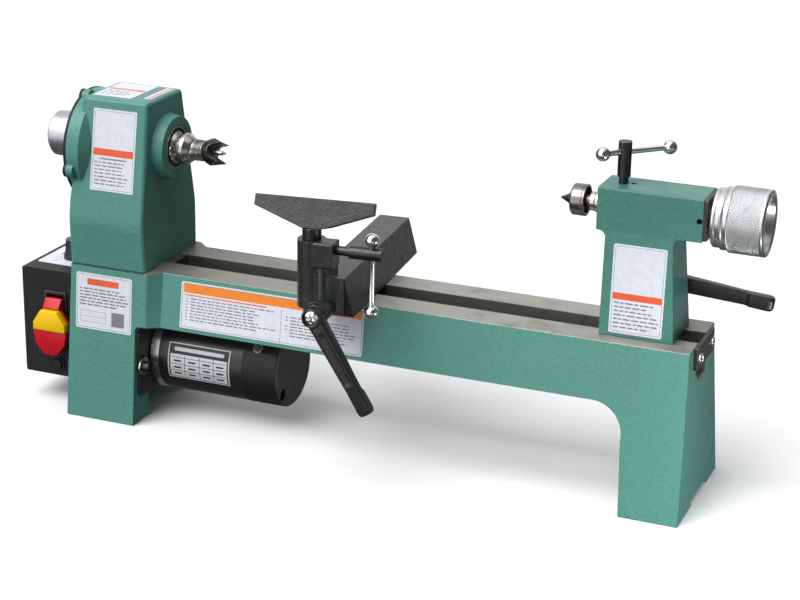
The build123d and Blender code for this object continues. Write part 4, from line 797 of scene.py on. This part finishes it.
# ---- small moulded pieces with softened corners --------------------------------------------------
def softened(name, node, width):
    """A copy of a CAD piece with rounded corners, in its place."""
    bm = bmesh.new()
    bm.from_mesh(nodes[node].data)
    bmesh.ops.remove_doubles(bm, verts=bm.verts, dist=1e-6)
    bmesh.ops.dissolve_limit(bm, angle_limit=math.radians(1), verts=bm.verts, edges=bm.edges)
    mesh = bpy.data.meshes.new(name + "_base")
    bm.to_mesh(mesh)
    bm.free()
    temporary = bpy.data.objects.new(name + "_base", mesh)
    bpy.context.scene.collection.objects.link(temporary)
    bevel = temporary.modifiers.new("round", "BEVEL")
    bevel.width = width * MM
    bevel.segments = 3
    bevel.limit_method = "ANGLE"
    bevel.angle_limit = math.radians(28)
    bpy.context.view_layer.update()
    rounded = bpy.data.meshes.new_from_object(temporary.evaluated_get(bpy.context.evaluated_depsgraph_get()))
    bpy.data.objects.remove(temporary)
    bm = bmesh.new()
    bm.from_mesh(rounded)
    bm.transform(Matrix.Scale(1000, 4))
    bpy.data.meshes.remove(rounded)
    body = next(b for b, group in frame["record"]["behaviour"]["bodies"].items() if node in group)
    return piece(name, bm, node_slots[node], body, [node], sharp=40)


softened("toggle_soft", "switch_toggle", 1.1)
softened("key_soft", "switch_key", 1.0)
softened("housing_soft", "switch_housing", 0.9)

# ---- plates --------------------------------------------------------------------------------------
# headstock front, above the shoulder
chance = random.Random(7)
lean = Vector((0, 18.5, 107.5)).normalized()
slope = flat_surface((-242.6, -50 + 18.5 * (246.2 - 183) / 107.5, 246.2), (1, 0, 0), lean)
plate("head_plate", slope, 43.2, 72.4, corner=1.2, border=(1.6, 0.3),
      bands=[(0, -1.8, 40.0, 6.2, "print_red")],
      lines=[(0, -7.6, 26, 1.2)] + rows(-18, 36, -10.9, 3.2, 7, 1.1, chance))
# headstock top
plate("top_plate", flat_surface((-252.4, 2.2, 290.5), (1, 0, 0), (0, 1, 0)), 38.5, 48.5, corner=1.2,
      bands=[(0, 2.8, 36, 4.2, "print_red")], lines=rows(-16, 32, -3.5, 4.6, 4, 1.6, chance))
plate("top_stripe", flat_surface((-220.2, 4.4, 290.5), (1, 0, 0), (0, 1, 0)), 7.2, 42.4, corner=0.8,
      bands=[(0.6, 0, 2.2, 41.0, "print_red")])


def bed_face(x, z):
    """The sloping front of the bed: its wide end at the left, the beam to the right."""
    top_half = 51.0 if x < -200 else 40.5
    y = -(top_half + (64.3 - top_half) * (141 - z) / 141)
    return flat_surface((x, y, z), (1, 0, 0), (0, 64.3 - top_half, 141))


plate("leg_plate", bed_face(-248.7, 108.8), 56.6, 51.4, corner=2.0, border=(1.4, 0.35),
      bands=[(-1, 18.0, 32, 5.8, "print_red"), (14.5, -14.0, 13, 13, "print_grey"),
             (-10.5, -14.0, 26, 0.3, "print_grey")],
      lines=rows(-24.5, 50, 11.4, 2.9, 6, 1.3, chance) + [(-10.5, -9.0, 26, 0.3), (-10.5, -19.0, 26, 0.3),
                                                        (-23.4, -14.0, 0.3, 10), (2.4, -14.0, 0.3, 10)])
left_rows = rows(-78, 84, 6.2, 2.7, 8, 1.05, chance) + [(-81.5, 6.2 - 2.7 * k, 1.5, 1.05) for k in range(8)]
right_rows = rows(19, 62, 3.6, 2.7, 7, 1.05, chance) + [(15.6, 3.6 - 2.7 * k, 2.2, 1.05) for k in (0, 1, 3, 4)]
plate("bed_plate", bed_face(-88.3, 116.0), 175.4, 41.8, corner=2.0, border=(1.3, 0.4),
      bands=[(0, 15.2, 170.6, 8.0, "print_orange"), (-44, 9.2, 80, 1.0, "print_red")],
      lines=[(10.4, -5, 0.4, 30)] + left_rows + right_rows)
plate("column_plate", flat_surface((230.9, -26 + 6 * (181.3 - 141.3) / 86.6, 181.3), (1, 0, 0), (0, 6, 86.6)),
      44.6, 74.6, body="tailstock", corner=1.8, border=(1.5, 0.3),
      bands=[(0, -6.0, 41.2, 5.6, "print_red")], lines=rows(-19, 38, -11.6, 3.4, 7, 1.2, chance))

# ---- motor: rating plate, brush cap in its slot ----------------------------------------------------
motor_side = drum_surface((-164.4, MOTOR_Z), MOTOR_RADIUS)
plate_rise = MOTOR_RADIUS * math.asin((57.3 - MOTOR_Z) / MOTOR_RADIUS)


def motor_at(u, v, h):
    return motor_side(u, v + plate_rise, h)


plate("motor_plate", motor_at, 62.5, 34.6, corner=0.6, border=(0.5, 1.1), cuts=24, look="print_black",
      line_look="print_silver", bands=[(0, -4.2, 56.5, 21.6, "print_silver")], lines=[(0, 11.2, 50, 3.4)])
table_rows = [(0, v, 55, 0.5) for v in (3.6, -2.6, -8.8)] + [(u, -4.2, 0.5, 20.5) for u in (-14, 1, 15)]
bm = bmesh.new()
for u, v, w, h in table_rows + [(u, v, 7.5, 1.6) for u in (-21, -6.5, 8, 21.5) for v in (0.5, -5.7, -11.6)]:
    outline = [(x + u, y + v) for x, y in rounded_outline(w, h, min(w, h) / 3, 2)]
    slab(bm, outline, 0.2, 0.36, motor_at, 16 if h > 4 else 2)
piece("motor_plate_grid", bm, "print_black", "bed")

brush_x, brush_angle = -109.5, math.radians(42)
brush_side = drum_surface((brush_x, MOTOR_Z), MOTOR_RADIUS)


def brush_at(u, v, h):
    return brush_side(u, v + MOTOR_RADIUS * brush_angle, h)


bm = bmesh.new()
outline = rounded_outline(26, 12, 2.2)
hole = rounded_outline(24.4, 10.4, 1.6)
slab(bm, outline, -0.2, 0.25, brush_at, 10, hole=hole)
slab(bm, hole, -0.2, 0.06, brush_at, 10)
piece("brush_slot", bm, "print_black", "bed")
out = Vector((0, -math.cos(brush_angle), math.sin(brush_angle)))
foot = Vector((brush_x, 0, MOTOR_Z)) + out * (MOTOR_RADIUS - 0.4)
bm = bmesh.new()
cap = [(0, 4.9), (0.7, 4.9), (1.0, 4.6), (1.0, 3.9), (0.8, 3.7), (0.8, 0)]
revolve(bm, [(0, 0)] + cap, frame_matrix(foot, out), 64)
piece("brush_cap", bm, "zinc", "bed", sharp=34)

# ---- speed dial ------------------------------------------------------------------------------------
dial_x, dial_y = -309.0, -2.0
dial_start, dial_sweep = 225, 270
dial_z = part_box("speed_scale")[1].z / MM
bm = bmesh.new()
for k in range(37):
    angle = math.radians(dial_start - dial_sweep * k / 36)
    long_tick = k % 4 == 0
    length, width = (2.6, 0.45) if long_tick else (1.5, 0.28)
    radial = Vector((math.cos(angle), math.sin(angle), 0))
    face = flat_surface(Vector((dial_x, dial_y, dial_z)) + radial * (12.2 + length / 2), radial,
                        Vector((0, 0, 1)).cross(radial))
    slab(bm, rounded_outline(length, width, width / 3, 2), -0.05, 0.05, face)
piece("dial_ticks", bm, "print_black", "bed")
bm = bmesh.new()
for k in range(10):
    curve = bpy.data.curves.new("digit", "FONT")
    curve.body = str(k)
    curve.size = 4.4
    curve.align_x = curve.align_y = "CENTER"
    curve.extrude = 0.04
    digit = bpy.data.objects.new("digit", curve)
    bpy.context.scene.collection.objects.link(digit)
    bpy.context.view_layer.update()
    shape = bpy.data.meshes.new_from_object(digit.evaluated_get(bpy.context.evaluated_depsgraph_get()))
    angle = math.radians(dial_start - dial_sweep * k / 9)
    where = Vector((dial_x + 17.6 * math.cos(angle), dial_y + 17.6 * math.sin(angle), dial_z + 0.03))
    shape.transform(Matrix.Translation(where))
    bm.from_mesh(shape)
    bpy.data.objects.remove(digit)
    bpy.data.meshes.remove(shape)
    bpy.data.curves.remove(curve)
piece("dial_numbers", bm, "print_black", "bed")
knob_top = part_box("speed_knob")[1].z / MM
pointer = flat_surface((dial_x, dial_y + 4.2, knob_top), (1, 0, 0), (0, 1, 0))
bm = bmesh.new()
slab(bm, rounded_outline(0.9, 6.4, 0.4, 3), -0.3, 0.06, pointer)
piece("knob_pointer", bm, "print_white", "knob")

# ---- floor, lights, camera ---------------------------------------------------------------------------
bm = bmesh.new()
bmesh.ops.create_circle(bm, cap_ends=True, segments=96, radius=14)
mesh = bpy.data.meshes.new("floor")
bm.to_mesh(mesh)
bm.free()
floor_shade = Shade("pale_floor", (0.86, 0.86, 0.86), Roughness=0.6, Specular_IOR_Level=0.15)
floor_tone = floor_shade.noise(3, 3)
floor_shade.set("Base Color", floor_shade.mix(floor_tone, (0.87, 0.87, 0.87), (0.85, 0.85, 0.85)))
mesh.materials.append(floor_shade.material)
floor = bpy.data.objects.new("floor", mesh)
floor.location = (0, 0, -0.0004)
floor.visible_diffuse = floor.visible_glossy = False     # the paper underneath is lit, but throws nothing back
bpy.context.scene.collection.objects.link(floor)

world = bpy.data.worlds.new("studio")
world.use_nodes = True
sky, links = world.node_tree.nodes, world.node_tree.links
toward = sky.new("ShaderNodeVectorMath")        # a bright white wall stands behind the table
toward.operation = "DOT_PRODUCT"
toward.inputs[1].default_value = (-0.36, 0.88, 0.31)
links.new(sky.new("ShaderNodeTexCoord").outputs["Generated"], toward.inputs[0])
glow = sky.new("ShaderNodeMapRange")
for key, value in {"From Min": 0.55, "From Max": 0.92, "To Min": 0.11, "To Max": 0.95}.items():
    glow.inputs[key].default_value = value
links.new(toward.outputs["Value"], glow.inputs["Value"])
links.new(glow.outputs[0], sky["Background"].inputs["Strength"])
sky["Background"].inputs["Color"].default_value = (0.96, 0.98, 1, 1)
bpy.context.scene.world = world


def lamp(name, kind, place, target, **settings):
    """A light at place, aimed at target."""
    light = bpy.data.lights.new(name, kind)
    for key, value in settings.items():
        setattr(light, key, value)
    made = bpy.data.objects.new(name, light)
    made.location = place
    made.rotation_mode = "QUATERNION"
    made.rotation_quaternion = (Vector(target) - Vector(place)).to_track_quat("-Z", "Y")
    made.visible_camera = False
    bpy.context.scene.collection.objects.link(made)


lamp("window", "SUN", (-1.2, -1.9, 3.4), (0, 0, 0), energy=3.1, angle=math.radians(50))
lamp("room", "SUN", (-0.6, -1.0, 0.4), (0, 0, 0), energy=1.35, angle=math.radians(70))
lamp("overhead", "AREA", (0.0, 0.1, 1.5), (0, 0, 0), shape="RECTANGLE", size=1.7, size_y=1.1, energy=5.5)
lamp("card", "AREA", (0.1, -1.0, 0.06), (0, 0, 0.14), shape="RECTANGLE", size=1.5, size_y=0.5, energy=0.95)
lamp("end_fill", "AREA", (0.45, -0.13, 0.06), (0.285, 0, 0.07), shape="RECTANGLE", size=0.12, size_y=0.12,
     energy=0.42)
bpy.context.scene.view_settings.view_transform = "Standard"

camera = bpy.data.cameras.new("camera")
camera.sensor_width = 36
camera.lens = 88.9
camera.shift_x, camera.shift_y = -0.00175, -0.0634
camera.clip_end = 60
eye = bpy.data.objects.new("camera", camera)
az, el, roll = (math.radians(a) for a in (22.208, 18.280, 0.856))
back = Vector((math.sin(az) * math.cos(el), -math.cos(az) * math.cos(el), math.sin(el)))
right = Vector((math.cos(az), math.sin(az), 0))
up = back.cross(right)
right, up = right * math.cos(roll) + up * math.sin(roll), up * math.cos(roll) - right * math.sin(roll)
eye.matrix_world = Matrix.Translation(Vector((0.015, 0, 0.180)) + back * 1.6918) @ Matrix(
    (right, up, back)).transposed().to_4x4()
bpy.context.scene.collection.objects.link(eye)
bpy.context.scene.camera = eye
